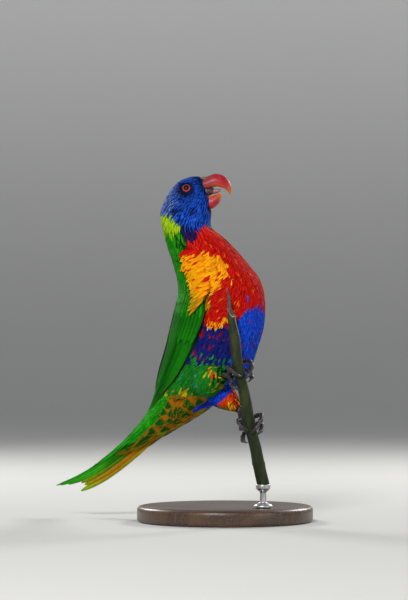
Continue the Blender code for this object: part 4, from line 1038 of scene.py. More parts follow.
lay_vanes(
    "vent_coat", on_body, *coat(
        16.7, 22.9, 2.4, 2.9, lambda p, a: 10.0 + 3.0 * ease(p, 18, 21),
        lambda p, a: 2.1 + 0.5 * ease(p, 18, 20), 41, rises=(0.10, 0.60),
        keep=lambda p, a: ~under_tail(p, a)),
    plumes_body, "feather_red", steps=8, strands=5, blunt=0.45, thick=0.14, seed=42, split=0.12,
    shaft_rise=0.05, rim_paint=0.5, shaft_paint=0.5, uneven=0.14)
lay_vanes(
    "under_tail_coat", on_body, *coat(
        17.6, 23.2, 5.2, 7.4, 17.0, 3.9, 43, rises=(0.10, 0.75), keep=under_tail, paint_at=0.5),
    plumes_body, "feather_red", steps=14, strands=9, blunt=0.55, thick=0.14, seed=44, split=0.10,
    shaft_rise=0.05, rim_paint=0.5, shaft_paint=0.0, uneven=0.12, tip_from=0.50, spot=True)
# Long narrow coverts run over the rump onto the tail, and the last ones close down on it.
lay_vanes(
    "rump_coat", on_body, *coat(
        19.6, 22.8, 3.0, 4.6, 21.0, 2.1, 49, rises=(0.10, 0.65), paint_at=0.4,
        keep=lambda p, a: ~under_tail(p, a) & (np.abs(a) > 84)),
    plumes_body, "feather_tail", steps=14, strands=7, blunt=0.30, thick=0.14, seed=51, split=0.10,
    shaft_rise=0.05, rim_paint=0.9, shaft_paint=0.7, uneven=0.22, rim_tight=4.0, shaft_tight=4.0)
roots, ends, wide, (low, high), paints, unwrap = coat(
    22.3, 23.9, 2.5, 2.1, 13.0, 2.1, 47, rises=(0.10, 0.3), paint_at=0.4)
dive = 3.4 * ease(ends[:, 0], 23.2, 24.8) * np.abs(np.sin(np.radians(ends[:, 1]))) + 0.6
lay_vanes(
    "tail_covert_coat", on_body, roots, ends, wide, (low, high - dive), paints, unwrap,
    plumes_body, "feather_tail", steps=12, strands=5, blunt=0.25, thick=0.14, seed=48, split=0.10,
    shaft_rise=0.05, curve=2.0, rim_paint=0.6, shaft_paint=0.5, uneven=0.16)


# Long loose plumes on the side of the breast lie over the front edge of the folded wing.
def on_side(places, angles, rise=0.0):
    low, _, high, _ = folded_wing(places)
    over_edge = ease(from_belly(angles), low - 26, low + 1)
    return on_body(places, angles, rise + (np.maximum(high, 0.0) + 0.9) * over_edge)


def beside_wing(places, angles):
    """The strip of the breast's side just in front of the back's edge."""
    turn, back = np.abs(angles), edge_line(BREAST_BACK, places)
    strip = np.interp(places, (9.9, 11.6, 12.7, 13.7), (34, 32, 22, 6))
    return (turn > back - strip + 3 * np.sin(places * 19)) & (turn < back - 4)


roots, ends, wide, _, paints, unwrap = coat(
    9.9, 13.7, 1.5, 1.7, lambda p, a: 8.5 + 1.5 * ease(p, 12, 13.2), 1.45, 45, sweep=flank_sweep,
    paint_at=0.1, keep=beside_wing)
lay_vanes(
    "side_coat", on_side, roots, ends, wide, (-0.9, 0.45), paints, unwrap,
    plumes_body, "feather_red", steps=8, strands=5, blunt=0.35, thick=0.12, seed=46, split=0.20,
    shaft_rise=0.03, rim_paint=0.35, shaft_paint=0.45)


# THIGH FEATHERS
# Soft feathers that wrap each leg down to the ankle: green on the near leg with a few yellow and
# orange tips at the ankle, and red-orange with a yellow-green hem on the inner side of the far leg.
def on_thigh(side):
    """A surface of one thigh: 0 at the hip to 1 at the ankle, and the angle round it."""
    hip, ankle, radii = THIGHS[side]
    hip, ankle, radii = np.array(hip), np.array(ankle), np.array(radii)[:, None]
    along = unit(ankle - hip)
    side_way = unit(np.cross(along, UP))
    front = np.cross(side_way, along)

    def surface(share, angle, rise=0.0):
        share, angle = np.broadcast_arrays(np.asarray(share, float), np.asarray(angle, float))
        size = read_rows(radii, share * (len(radii) - 1))[..., 0] + rise
        turn = np.radians(angle)
        spoke = np.cos(turn)[..., None] * side_way + np.sin(turn)[..., None] * front
        return hip + (ankle - hip) * share[..., None] + spoke * size[..., None]

    return surface


for side, label in SIDES:
    surface = on_thigh(side)
    rng = np.random.default_rng(40 + side)
    hip, ankle, radii = THIGHS[side]
    span = float(np.linalg.norm(np.array(ankle) - np.array(hip)))
    roots = []
    for number, share in enumerate(np.arange(0.02, 0.93, 1.5 / span)):
        size = read_rows(np.array(radii)[:, None], share * (len(radii) - 1))[0]
        count = max(int(2 * np.pi * size / 1.7), 6)
        angles = (np.arange(count) + 0.5 * (number % 2)) * 360.0 / count
        shares = np.full(count, share) + rng.normal(0, 0.012, count)
        roots.append(np.stack([shares, angles + rng.normal(0, 60 / count, count)], -1))
    roots = np.concatenate(roots)
    # Roots that would lie deep inside the trunk are left out.
    spots = surface(roots[:, 0], roots[:, 1])
    _, places, angles = nearest_on_body(spots)
    roots = roots[dot(spots - on_body(places, angles), body_outward(places, angles)) > -1.5]
    count = len(roots)
    down, turn = roots.T
    along = (surface(down + 0.02, turn) - surface(down - 0.02, turn)) / 0.04
    round_ = (surface(down, turn + 1.0) - surface(down, turn - 1.0)) / 2.0
    # High on the leg the feathers lie back and down over the vent, and lower they run to the ankle.
    back = 0.95 * ease(-down, -0.97, -0.80)[:, None]
    lie = unit(unit(along) * (1 - back) + back * np.array([-0.50, 0.10, -0.86]))
    step = steps_toward(lie, along, round_)
    gone = np.linalg.norm(step[:, :1] * along + step[:, 1:] * round_, axis=-1)
    step = step / np.maximum(gone, 0.3)[:, None]
    reach = (7.0 - 3.0 * ease(down, 0.5, 1.0)) * (1 + 0.12 * rng.normal(size=count))
    ends = roots + step * reach[:, None]
    ends[:, 0] = np.clip(ends[:, 0], -0.3, 1.12)
    names = np.full(count, PATCHES.index("thigh_green" if side > 0 else "thigh_red"))
    pick = rng.random(count)
    x, y, z = surface(ends[:, 0], ends[:, 1]).T
    if side > 0:
        names[(pick < 0.20) & (down > 0.62)] = PATCHES.index("thigh_yellow")
        names[(pick > 0.90) & (down > 0.70)] = PATCHES.index("thigh_red")
        # Teal feathers near the hip are painted highlights.
        names[(pick > 0.84) & (down < 0.45)] = PATCHES.index("thigh_teal_highlight")
        names[z < 101.0 + 0.80 * x] = PATCHES.index("vent_blue")
    else:
        axis_y = hip[1] + np.clip(down, 0, 1) * (ankle[1] - hip[1])
        names[y > axis_y + 1.0 + 1.5 * rng.normal(size=count)] = PATCHES.index("thigh_green")
        names[(pick < 0.45) & (down > 0.78)] = PATCHES.index("thigh_yellow")
        names[(z > 92.0 + 0.85 * x) & (down < 0.72)] = PATCHES.index("vent_blue")
    unwrap = np.stack([0.02 + 0.95 * (turn % 360) / 360, 0.02 + 0.95 * np.clip(down, 0, 1)], -1)
    lay_vanes(
        f"thigh_coat_{label}", surface, roots, ends, 1.5 - 0.7 * ease(down, 0.5, 1.0),
        (-(1.1 - 0.4 * down), 0.10), PAINT_TABLE[names], unwrap, plumes_body, "feather_thigh", blunt=0.45,
        thick=0.10, seed=50 + side, split=0.25, shaft_rise=0.04, rim_paint=0.4, shaft_paint=0.45)


# WINGS
# Each folded wing is a bed of small scale-like feathers on the arm, then rows of coverts, and
# below them the long secondaries and primaries, which slide over each other like tiles.
# Each tier: how many, root and tip as (section, share across) at its low and its top end,
# half width, height of root and tip over the wing's own surface, how blunt, how thick.
WING_TIERS = {
    "primaries": (
        10, (15.0, 0.06), (14.6, 0.50), (21.75, 0.30), (18.6, 0.56), 3.7, (-1.7, -0.35), 0.45, 0.4),
    "secondaries": (
        11, (14.2, 0.40), (13.2, 0.92), (17.9, 0.34), (19.2, 0.92), 3.9, (-1.3, -0.1), 0.75, 0.4),
    "greater_coverts": (
        17, (12.9, 0.05), (12.3, 0.93), (15.7, 0.07), (15.5, 0.92), 3.2, (-1.2, -0.15), 0.9, 0.3),
    "median_coverts": (
        19, (12.1, 0.05), (11.6, 0.95), (14.2, 0.06), (14.1, 0.94), 2.6, (-1.0, 0.0), 0.9, 0.25),
}
plumes_wing = feather_finish("wing_plumes", 0.75, 0.46, 0.35, Specular_IOR_Level=0.05)


def on_wing(side):
    """The folded wing's own surface: section along the body, and share across it from its low edge."""
    def surface(places, shares, rise=0.0):
        places, shares = np.broadcast_arrays(np.asarray(places, float), np.asarray(shares, float))
        low, top, high, _ = folded_wing(places)
        crown = high * (0.45 + 0.55 * ease(shares, 0.0, 0.40)) * (1 - 0.55 * ease(shares, 0.72, 1.0))
        return on_body(places, side * (low + shares * (top - low)), crown + rise)

    return surface


# The five paints of each tier, in the tiers' order. The small feathers share the last row.
WING_PAINTS = display_to_light(np.array((
    ((14, 100, 8), (18, 122, 12), (24, 150, 16), (5, 48, 6), (84, 190, 50)),
    ((14, 94, 8), (14, 106, 8), (18, 134, 10), (6, 54, 5), (46, 150, 18)),
    ((8, 44, 6), (13, 98, 8), (18, 122, 10), (8, 66, 6), (28, 124, 13)),
    ((8, 44, 6), (15, 106, 8), (24, 132, 12), (7, 64, 6), (44, 146, 17)),
)))

for side, label in SIDES:
    surface = on_wing(side)
    rng = np.random.default_rng(70 + side)
    # The arm under the coverts, a thin curved shell.
    at, over = np.meshgrid(np.linspace(10.75, 17.5, 60), np.linspace(0.04, 0.96, 40), indexing="ij")
    end = np.minimum(np.minimum((at - 10.7) / 0.9, (17.6 - at) / 1.4), 1.0)
    sink = np.interp(at, (11.5, 13.5), (-0.95, -1.45)) - 1.1 * (1 - end) ** 2
    sink = sink - 0.5 * np.abs(2 * over - 1) ** 4
    under = sink - np.maximum(folded_wing(at)[2] + sink + 2.2, 0.8)
    shell = np.concatenate([surface(at, over, sink), surface(at, over, under)[:, ::-1]], 1)
    arm = new_piece(f"wing_arm_{label}", shell.reshape(-1, 3), tube_faces(*shell.shape[:2]), feathered_skin,
                    (f"wing_{label}",))
    carry(arm.data, "plume", "FLOAT_COLOR", np.tile((0.004, 0.030, 0.004, 1.0), shell.size // 3))
    for number, (tier, row) in enumerate(WING_TIERS.items()):
        count, root_low, root_top, tip_low, tip_top, half, rises, blunt, thick = row
        share = (np.arange(count) / (count - 1))[:, None]
        starts = np.array(root_low) * (1 - share) + np.array(root_top) * share
        ends = np.array(tip_low) * (1 - share) + np.array(tip_top) * share
        if "coverts" in tier:
            ends[:, 0] += 0.10 * (-1) ** np.arange(count) + rng.normal(0, 0.03, count)
        paints = np.repeat(WING_PAINTS[number][None], count, 0)
        if tier == "primaries":
            paints[0, 3] = display_to_light(np.array((70, 34, 26)))
        unwrap = np.stack([0.02 + 0.2 * number + 0.17 * share[:, 0], np.full(count, 0.05)], -1)
        lay_vanes(
            f"{tier}_{label}", surface, starts, ends, np.full(count, half), rises, paints, unwrap,
            plumes_wing, "feather_green", steps=16, strands=7, blunt=blunt, thick=thick, lean=-side * 5.0,
            seed=80 + number, shaft_rise=0.03, uneven=0.10, shaft_tight=4.0, rim_tight=3.0, arch=0.08,
            ragged=0.03)
    # Small scale-like feathers over the shoulder and arm.
    roots = []
    for number, place in enumerate(np.arange(10.75, 13.1, 0.17)):
        span = np.linalg.norm(surface(place, 0.9) - surface(place, 0.1))
        count = int(span / 2.2)
        shares = 0.06 + 0.88 * (np.arange(count) + 0.5 * (number % 2)) / count
        places = np.full(count, place) + rng.normal(0, 0.02, count)
        roots.append(np.stack([places, shares + rng.normal(0, 0.004, count)], -1))
    roots = np.concatenate(roots)
    count = len(roots)
    steps = np.full(count, 0.62) + rng.normal(0, 0.05, count)
    ends = roots + np.stack([steps, rng.normal(0, 0.01, count)], -1)
    unwrap = np.stack([0.02 + 0.9 * roots[:, 1], 0.1 + 0.8 * (roots[:, 0] - 10.5) / 3.5], -1)
    lay_vanes(
        f"lesser_coverts_{label}", surface, roots, ends, 1.9 + 0.1 * rng.normal(size=count), (-0.9, 0.40),
        np.repeat(WING_PAINTS[3][None], count, 0), unwrap, plumes_wing, "feather_green", steps=7,
        blunt=0.75, thick=0.25, seed=90 + side, split=0.15)


# TAIL
# Twelve long pointed feathers in six pairs, folded like a roof, with coverts over their roots.
# The middle pairs are green with a bright shaft and one brown edge, and the outer ones olive yellow.
# Each row: tip section, height on the roof's slope at root and tip (millimetres, down), half width,
# and how blunt. The first row is the middle pair, which is the longest and lies on top.
TAIL_PAIRS = (
    (26.95, -3.9, -1.5, 3.6, 0.35), (26.72, -2.5, -0.7, 3.6, 0.45), (26.42, -1.0, 0.5, 3.5, 0.60),
    (25.95, 0.8, 2.8, 3.5, 0.75), (25.85, 2.5, 5.2, 3.4, 0.90), (26.05, 4.2, 8.3, 3.3, 0.95),
)
TAIL_LEANS = (48.0, 26.0, 12.0, 4.0, 0.0, -4.0)
TAIL_PAINTS = display_to_light(np.array((
    ((8, 70, 8), (16, 132, 12), (18, 124, 18), (50, 34, 18), (110, 200, 50)),
    ((8, 70, 8), (16, 134, 12), (24, 136, 14), (74, 34, 20), (80, 190, 34)),
    ((8, 70, 8), (16, 126, 12), (40, 136, 14), (70, 36, 20), (60, 172, 24)),
    ((40, 80, 8), (44, 112, 12), (110, 140, 18), (98, 48, 18), (120, 150, 24)),
    ((110, 90, 8), (176, 116, 12), (150, 150, 20), (128, 72, 20), (206, 140, 24)),
    ((110, 90, 8), (164, 124, 12), (120, 165, 24), (52, 128, 16), (214, 150, 24)),
)))
plumes_tail = feather_finish("tail_plumes", 0.8, 0.46, 0.4, Specular_IOR_Level=0.06)


def on_tail(places, offsets, drop=0.0):
    """Points across the tail: section along it, and millimetres to the bird's right of its middle."""
    places, offsets = np.broadcast_arrays(np.asarray(places, float), np.asarray(offsets, float))
    centre, belly, right, _, _ = body_frame(places)
    ahead = unit(body_frame(places + 0.1)[0] - body_frame(places - 0.1)[0])
    across = unit(right - ahead * dot(right, ahead)[..., None])
    down = unit(np.cross(across, ahead))
    down = np.where(dot(down, belly)[..., None] < 0, -down, down)
    return centre + across * offsets[..., None] + down * np.asarray(drop, float)[..., None]


for number, (tip, root_height, tip_height, half, blunt) in reversed(list(enumerate(TAIL_PAIRS))):
    for side, label in SIDES:
        def surface(places, heights, rise=0.0, side=side, number=number):
            places, heights = np.broadcast_arrays(np.asarray(places, float), np.asarray(heights, float))
            swell = 0.45 * np.maximum(body_frame(places)[3] - 4.0, 0.0)
            spread = side * (0.1 + 0.34 * (heights + 4.0) + swell + rise - 0.30 * number)
            return on_tail(places, 0.8 * spread - 0.6 * heights, 0.6 * spread + 0.8 * heights)

        replaced = ("tail",) if number == 0 and side > 0 else ()
        lay_vanes(
            f"tail_feather_{number + 1}_{label}", surface, np.array([[22.3, root_height]]),
            np.array([[tip, tip_height]]), np.array([half]), (0.0, 0.0), TAIL_PAINTS[number][None],
            np.array([[0.05, 0.05]]), plumes_tail, "feather_tail", replaced, steps=30, strands=13,
            blunt=blunt, thick=0.45, seed=120 + number, shaft_rise=0.04, shaft_paint=0.9, rim_paint=0.9,
            lean=side * TAIL_LEANS[number], shaft_tight=6.0, rim_tight=2.2, rim_side=-side, ragged=0.01)


# BILL AND TONGUE
# The hooked upper bill and the short, deep lower one, grown from the face: smooth orange-red horn,
# yellower along the cutting edge and at the tip, with fine growth lines. The tongue shows between.
# Each row: X and Z of the top, X and Z of the bottom, half width, in the head's own upright plane.
UPPER_BILL = (
    (-19.5, 256.6, -18.0, 248.0, 5.7), (-11.3, 259.9, -10.5, 249.6, 5.9), (-6.8, 261.0, -6.2, 250.5, 5.5),
    (-2.3, 260.1, -2.9, 249.6, 4.8), (1.3, 257.6, -0.6, 249.2, 3.9), (3.8, 254.0, 1.2, 248.0, 2.8),
    (4.8, 250.0, 2.5, 246.8, 1.6), (4.4, 245.8, 3.6, 245.5, 0.4),
)
LOWER_BILL = (
    (-19.0, 245.6, -17.5, 235.0, 4.5), (-12.0, 245.0, -10.5, 234.4, 4.8), (-8.6, 245.6, -6.6, 236.6, 4.2),
    (-5.6, 246.4, -3.9, 239.8, 3.0), (-3.1, 246.6, -2.7, 245.2, 0.8),
)
TONGUE = ((-17.0, 247.2, 2.3), (-11.0, 247.5, 2.3), (-6.5, 247.9, 2.0), (-3.2, 248.7, 1.3))


BILL_SIDE = np.array([-0.139, -0.990, 0.0])


def bill_plane(x):
    """Where the head's own upright plane lies in Y."""
    return 8.9 - (np.asarray(x, float) + 12.0) * 0.14


def mandible(name, rows, upper, replaced):
    """One half of the bill, lofted along its curve, with a keel, full cheeks and a sharp cutting edge."""
    steps, sides = 90, 72
    places = np.linspace(0, len(rows) - 1, steps)
    top_x, top_z, low_x, low_z, half = read_rows(rows, places).T
    half = np.maximum(half, 0.3)
    top = np.stack([top_x, bill_plane(top_x), top_z], -1)
    low = np.stack([low_x, bill_plane(low_x), low_z], -1)
    middle, reach = (top + low) / 2, (top - low) / 2
    turns = full_turn(sides)
    c, s = np.cos(turns), np.sin(turns)
    # The side that meets the other half is drawn in to a thin edge with a hollow between its rims.
    edge = -c if upper else c
    cheek = (1.0 - 0.2 * c) * (1.0 - 0.10 * ease(edge, 0.55, 1.0))
    hollow = 0.30 * ease(edge, 0.80, 1.0)
    grow = 0.006 * np.sin(places[:, None] * 31.0 + 1.5 * np.sin(turns * 2)[None])
    grow = grow * ease(places, 0.8, 2.0)[:, None]
    points = (middle[:, None] + reach[:, None] * (c * (1 - hollow))[None, :, None]
              + BILL_SIDE * (half[:, None] * (s * cheek)[None] * (1 + grow))[..., None])
    points += 0.10 * lumps(points, 5.0)[..., None] * (points - middle[:, None]) / 6.0
    piece = new_piece(name, points.reshape(-1, 3), tube_faces(steps, sides), bill_horn, replaced)
    along = (places / (len(rows) - 1))[:, None]
    horn = np.stack(np.broadcast_arrays(along, edge * 0.5 + 0.5, np.abs(s)), -1)
    carry(piece.data, "horn", "FLOAT_VECTOR", horn)


bill_horn, shader, place = new_finish("bill_horn", Coat_Weight=0.16, Coat_Roughness=0.28,
                                      Specular_IOR_Level=0.25, Subsurface_Weight=0.08, Subsurface_Scale=0.001)
horn = place.carried("horn", 1)
along, rim = horn.axis(0), horn.axis(1)
lines = place.stretched((700.0, 500.0, 700.0)).clouds(1.0, 3.0)
streaks = horn.stretched((3.0, 26.0, 2.0)).clouds(3.0, 3.0)
cloud = place.clouds(330.0, 3.0)
red = place.colour(0.36, 0.010, 0.022).tinted((0.47, 0.036, 0.044), cloud.between(0.42, 0.66) * 0.7)
red = red.tinted((0.60, 0.105, 0.008), rim.between(0.50, 0.95) * 0.85)
red = red.tinted((0.72, 0.20, 0.012), along.between(0.62, 1.0) * 0.75)
red = red.tinted((0.17, 0.006, 0.014), streaks.between(0.54, 0.72) * 0.6)
red = red.tinted((0.24, 0.045, 0.050), along.between(0.30, 0.14) * 0.6)
red.into(shader, "Base Color")
(0.26 + 0.20 * cloud + 0.08 * lines).into(shader, "Roughness")
place.relief(shader, lines * 0.4 + streaks * 0.8, 0.4, 0.00012)
mandible("bill_top", UPPER_BILL, True, ("bill_upper",))
mandible("bill_bottom", LOWER_BILL, False, ("bill_lower",))


def clouded_finish(name, scale, dark, pale, bounds, rough, relief, **settings):
    """A dark colour clouded with a paler one. The pale clouds stand out and are rougher."""
    material, shader, place = new_finish(name, **settings)
    cloud = place.clouds(scale, 3.0)
    place.colour(*dark).tinted(pale, cloud.between(*bounds)).into(shader, "Base Color")
    (rough[0] + rough[1] * cloud).into(shader, "Roughness")
    place.relief(shader, cloud, *relief)
    return material


tongue_flesh = clouded_finish(
    "tongue_flesh", 1600.0, (0.22, 0.10, 0.095), (0.36, 0.20, 0.18), (0.45, 0.7), (0.32, 0.2), (0.6, 0.0002),
    Subsurface_Weight=0.2, Subsurface_Scale=0.002, Coat_Weight=0.4, Coat_Roughness=0.2)
rows = np.array([(x, float(bill_plane(x)), z, r) for x, z, r in TONGUE])
steps, sides = 40, 28
places = np.linspace(0, len(TONGUE) - 1, steps)
path = read_rows(rows, places)
turns = full_turn(sides)
groove = 1 - 0.22 * hump(turns - np.pi / 2, 0.35)
tip = np.sqrt(np.clip((3.02 - places) / 0.5, 0.02, 1))
tongue = path[:, None, :3] + (path[:, 3] * tip)[:, None, None] * (
    BILL_SIDE * np.cos(turns)[:, None] + 0.85 * UP * (np.sin(turns) * groove)[:, None])
new_piece("tongue_tip", tongue.reshape(-1, 3), tube_faces(steps, sides), tongue_flesh,
          ("tongue",))

# The cere is the bare pad over the bill's root. A round nostril opens on each side of it.
cere_skin = clouded_finish(
    "cere_skin", 1500.0, (0.115, 0.075, 0.060), (0.26, 0.17, 0.13), (0.42, 0.66), (0.50, 0.2), (0.5, 0.0002),
    Subsurface_Weight=0.1, Subsurface_Scale=0.001)
around, up = np.meshgrid(full_turn(56), np.linspace(0.02, np.pi - 0.02, 36), indexing="xy")
pad = np.stack([np.cos(around) * np.sin(up), np.sin(around) * np.sin(up), np.cos(up)], -1)
cere = CERE_AT + pad * np.array(CERE_SIZE)
for side in (1, -1):
    nostril = np.array(CERE_AT) + np.array([1.4, -side * 3.2, 1.6])
    gap = np.linalg.norm((cere - nostril) * np.array([1.0, 1.0, 0.8]), axis=-1)
    hole, lip = 1.1 * (1 - ease(gap, 0.25, 0.85)), 0.22 * hump(gap - 1.05, 0.35)
    cere -= pad * hole[..., None] - pad * lip[..., None]
new_piece("cere", cere.reshape(-1, 3), tube_faces(*cere.shape[:2]), cere_skin)

# The mouth is lined with dark flesh, from the corners of the gape to the root of the tongue.
mouth_flesh = clouded_finish(
    "mouth_flesh", 900.0, (0.045, 0.012, 0.022), (0.13, 0.050, 0.055), (0.45, 0.70), (0.42, 0.2),
    (0.6, 0.0003), Subsurface_Weight=0.1, Subsurface_Scale=0.001)
steps, sides = 40, 40
share = np.linspace(0, 1, steps)
x = -20.0 + 12.6 * share
middle = np.stack([x, bill_plane(x), np.interp(share, (0, 0.5, 1), (246.6, 247.6, 248.3))], -1)
close = np.sqrt(np.clip(1.02 - share ** 3, 0.02, 1))
turns = full_turn(sides)
tall = np.interp(share, (0, 0.6, 1), (4.4, 3.9, 3.4)) * close
lining = (middle[:, None] + BILL_SIDE * (4.3 * close)[:, None, None] * np.cos(turns)[:, None]
          + UP * tall[:, None, None] * np.sin(turns)[:, None])
lining += 0.25 * lumps(lining, 2.2)[..., None] * np.array([0.3, 0.9, 0.3])
new_piece("mouth_lining", lining.reshape(-1, 3), tube_faces(steps, sides), mouth_flesh)


# EYES AND LIDS
# Glassy round eyes set in the sides of the head. The orange-red iris has a dark outer line, fine
# spokes and a black pupil, and a bare beaded lid of dark skin closes round each eye.
EYE_RADIUS, EYE_DEEP = 3.7, 2.7
wet_eye, shader, place = new_finish("wet_eye", Coat_Weight=0.55, Coat_Roughness=0.02, Coat_IOR=1.38,
                                    Specular_IOR_Level=0.1)
gaze = place.carried("gaze", 1)
out = gaze.axis(0)
fibres = gaze.stretched((1.4, 9.0, 9.0)).clouds(2.6, 4.0)
iris = place.colour(0.50, 0.008, 0.014).tinted((0.66, 0.040, 0.040), fibres.between(0.42, 0.64) * 0.8)
iris = iris.tinted((0.20, 0.008, 0.008), fibres.between(0.44, 0.30) * 0.8)
iris = iris.tinted((0.16, 0.008, 0.008), out.between(0.56, 0.63, 1.0, 0.0) * 0.7)
# A paler pink-red band round the outer iris is a painted highlight.
iris = iris.tinted((0.70, 0.10, 0.09), out.between(0.64, 0.70) * 0.4)
iris = iris.tinted((0.002, 0.002, 0.003), out.between(0.545, 0.58, 1.0, 0.0))
iris.tinted((0.006, 0.004, 0.006), out.between(0.74, 0.78)).into(shader, "Base Color")
(0.22 + 0.18 * fibres).into(shader, "Roughness")

lid_skin = clouded_finish(
    "lid_skin", 2600.0, (0.005, 0.006, 0.012), (0.020, 0.021, 0.034), (0.45, 0.70), (0.45, 0.25),
    (0.7, 0.00015), Specular_IOR_Level=0.25)

for side, label in SIDES:
    axis = body_outward(EYE_AT[0], side * EYE_AT[1])
    centre = on_body(EYE_AT[0], side * EYE_AT[1]) - EYE_DEEP * axis
    one = unit(np.cross(axis, UP))
    two = np.cross(axis, one)
    around, out = np.meshgrid(full_turn(80), np.linspace(0.012, np.pi - 0.012, 64), indexing="xy")
    bulge = EYE_RADIUS + 0.16 * hump(out, 0.42) - 0.05
    ball = centre + bulge[..., None] * (np.cos(out)[..., None] * axis + np.sin(out)[..., None] * (
        np.cos(around)[..., None] * one + np.sin(around)[..., None] * two))
    eye = new_piece(f"eyeball_{label}", ball.reshape(-1, 3), tube_faces(*ball.shape[:2]), wet_eye,
                    (f"eye_{label}",))
    from_middle = np.sin(out) * np.where(out < np.pi / 2, 1, 2)
    carry(eye.data, "gaze", "FLOAT_VECTOR", np.stack([from_middle, np.cos(around), np.sin(around)], -1))
    # Each lid is a soft ring round the ball, with a row of small beads and a fold behind it.
    steps, sides = 120, 20
    turns, rolls = full_turn(steps), full_turn(sides)
    spoke = np.cos(turns)[:, None] * one + np.sin(turns)[:, None] * two
    for band, (reach, lift, size) in enumerate(((0.885, 0.02, 0.36), (1.03, -0.10, 0.42))):
        opening = EYE_RADIUS * reach * (1 + 0.015 * np.cos(2 * turns))
        on_ball = EYE_RADIUS ** 2 - np.minimum(opening, EYE_RADIUS * 0.98) ** 2
        height = np.sqrt(np.maximum(on_ball, 0.0)) + lift + 0.35 * band
        beads = size * (1 + 0.13 * np.abs(np.sin(turns * 17 + band)))
        middle = centre + spoke * opening[:, None] + axis * height[:, None]
        ring = middle[:, None] + beads[:, None, None] * (
            np.cos(rolls)[None, :, None] * spoke[:, None] + np.sin(rolls)[None, :, None] * axis)
        a, b = np.meshgrid(np.arange(steps), np.arange(sides), indexing="ij")
        near, far = a * sides, (a + 1) % steps * sides
        faces = np.stack([near + b, near + (b + 1) % sides, far + (b + 1) % sides, far + b], -1)
        new_piece(f"lid_{label}_{band + 1}", ring.reshape(-1, 3), faces.reshape(-1, 4).tolist(), lid_skin)


# FEET
# Two toes grip the stem from each side. Rows of hard grey scutes cover the front of every toe,
# small round scales its sides, soft pads its underside, and a dark curved claw ends it.
# Each toe row: angle round the stem, distance from its centre line, height over the foot's centre.
TOES = {
    "third": ((0, 6.9, 2), (48, 7.6, 6), (98, 8.8, 9.5), (140, 9.9, 10), (172, 10.0, 6), (198, 8.6, 1),
              (220, 6.8, -2), (238, 5.7, -3.4)),
    "second": ((5, 6.9, -1), (52, 7.1, 1), (102, 7.6, 3.5), (145, 8.7, 2.6), (174, 8.4, -1.4),
               (196, 7.0, -4), (212, 5.9, -5)),
    "fourth": ((-6, 6.9, 2), (-30, 7.7, 6), (-60, 8.0, 4.4), (-84, 7.5, 1.2), (-102, 6.6, -0.4),
               (-118, 5.8, -0.6)),
    "first": ((0, 6.9, -3), (-22, 7.8, -6.4), (-46, 7.9, -8.6), (-66, 6.9, -10), (-84, 6.0, -10.4)),
}
# Each foot: its name, the palm's angle round the stem, and its height.
FEET = {1: ("right", 196.0, 110.5), -1: ("left", 222.0, 71.0)}
# The shank runs up into the thigh by this share of the thigh's length.
SHANK_SUNK = 0.16

scaly_skin, shader, place = new_finish("scaly_skin", Specular_IOR_Level=0.6)
scute = place.carried("scute", 2)
scales = place.node("TexVoronoi", {"feature": "DISTANCE_TO_EDGE"}, {"Vector": place, "Scale": 1100.0})
dust = place.clouds(700.0, 3.0)
grey = place.colour(0.013, 0.011, 0.013).tinted((0.075, 0.064, 0.070), scute * 0.75)
grey = grey.tinted((0.005, 0.004, 0.004), scales.between(0.10, 0.0) * 0.85)
grey = grey.tinted((0.085, 0.052, 0.044), dust.between(0.52, 0.74) * 0.5)
grey.tinted((0.005, 0.004, 0.005), dust.between(0.44, 0.26) * 0.6).into(shader, "Base Color")
(0.18 + 0.26 * dust + 0.04 * scute).into(shader, "Roughness")
place.relief(shader, scales.between(0.0, 0.22) * 0.8 + dust * 0.4, 0.9, 0.00030)

claw_horn = clouded_finish(
    "claw_horn", 1300.0, (0.016, 0.013, 0.012), (0.075, 0.062, 0.055), (0.45, 0.72), (0.30, 0.22),
    (0.4, 0.0001), Coat_Weight=0.2, Coat_Roughness=0.25)


def on_stem(angle, reach, height):
    """A point beside the stem: angle 0 is +X and 90 the camera's side."""
    heights = STEM_ROWS[:, 0]
    turn = np.radians(angle)
    return np.stack([np.interp(height, heights, STEM_ROWS[:, 1]) + reach * np.cos(turn),
                     np.interp(height, heights, STEM_ROWS[:, 2]) - reach * np.sin(turn), height], -1)


def limb_rings(path, radii, up):
    """Rings of points round a path, the first point of each on the side that faces up."""
    ahead = unit(np.gradient(path, axis=0))
    across = unit(np.cross(ahead, up))
    front = np.cross(across, ahead)
    turns = full_turn(radii.shape[1])
    ring = np.cos(turns)[None, :, None] * front[:, None] + np.sin(turns)[None, :, None] * across[:, None]
    return path[:, None] + ring * radii[..., None]


def toe_path(rows, places, palm_angle, height):
    """A toe's middle line round the stem, and the ways out from the stem along it."""
    angle, reach, lift = read_rows(rows, places).T
    path = on_stem(palm_angle + angle, reach, height + lift)
    return path, unit(path - on_stem(palm_angle + angle, 0.0, height + lift))


def add_rings(rings, points, faces):
    """Adds one closed tube to lists of points and faces."""
    start = sum(len(part) for part in points)
    points.append(rings.reshape(-1, 3))
    faces += [[i + start for i in face] for face in tube_faces(*rings.shape[:2])]


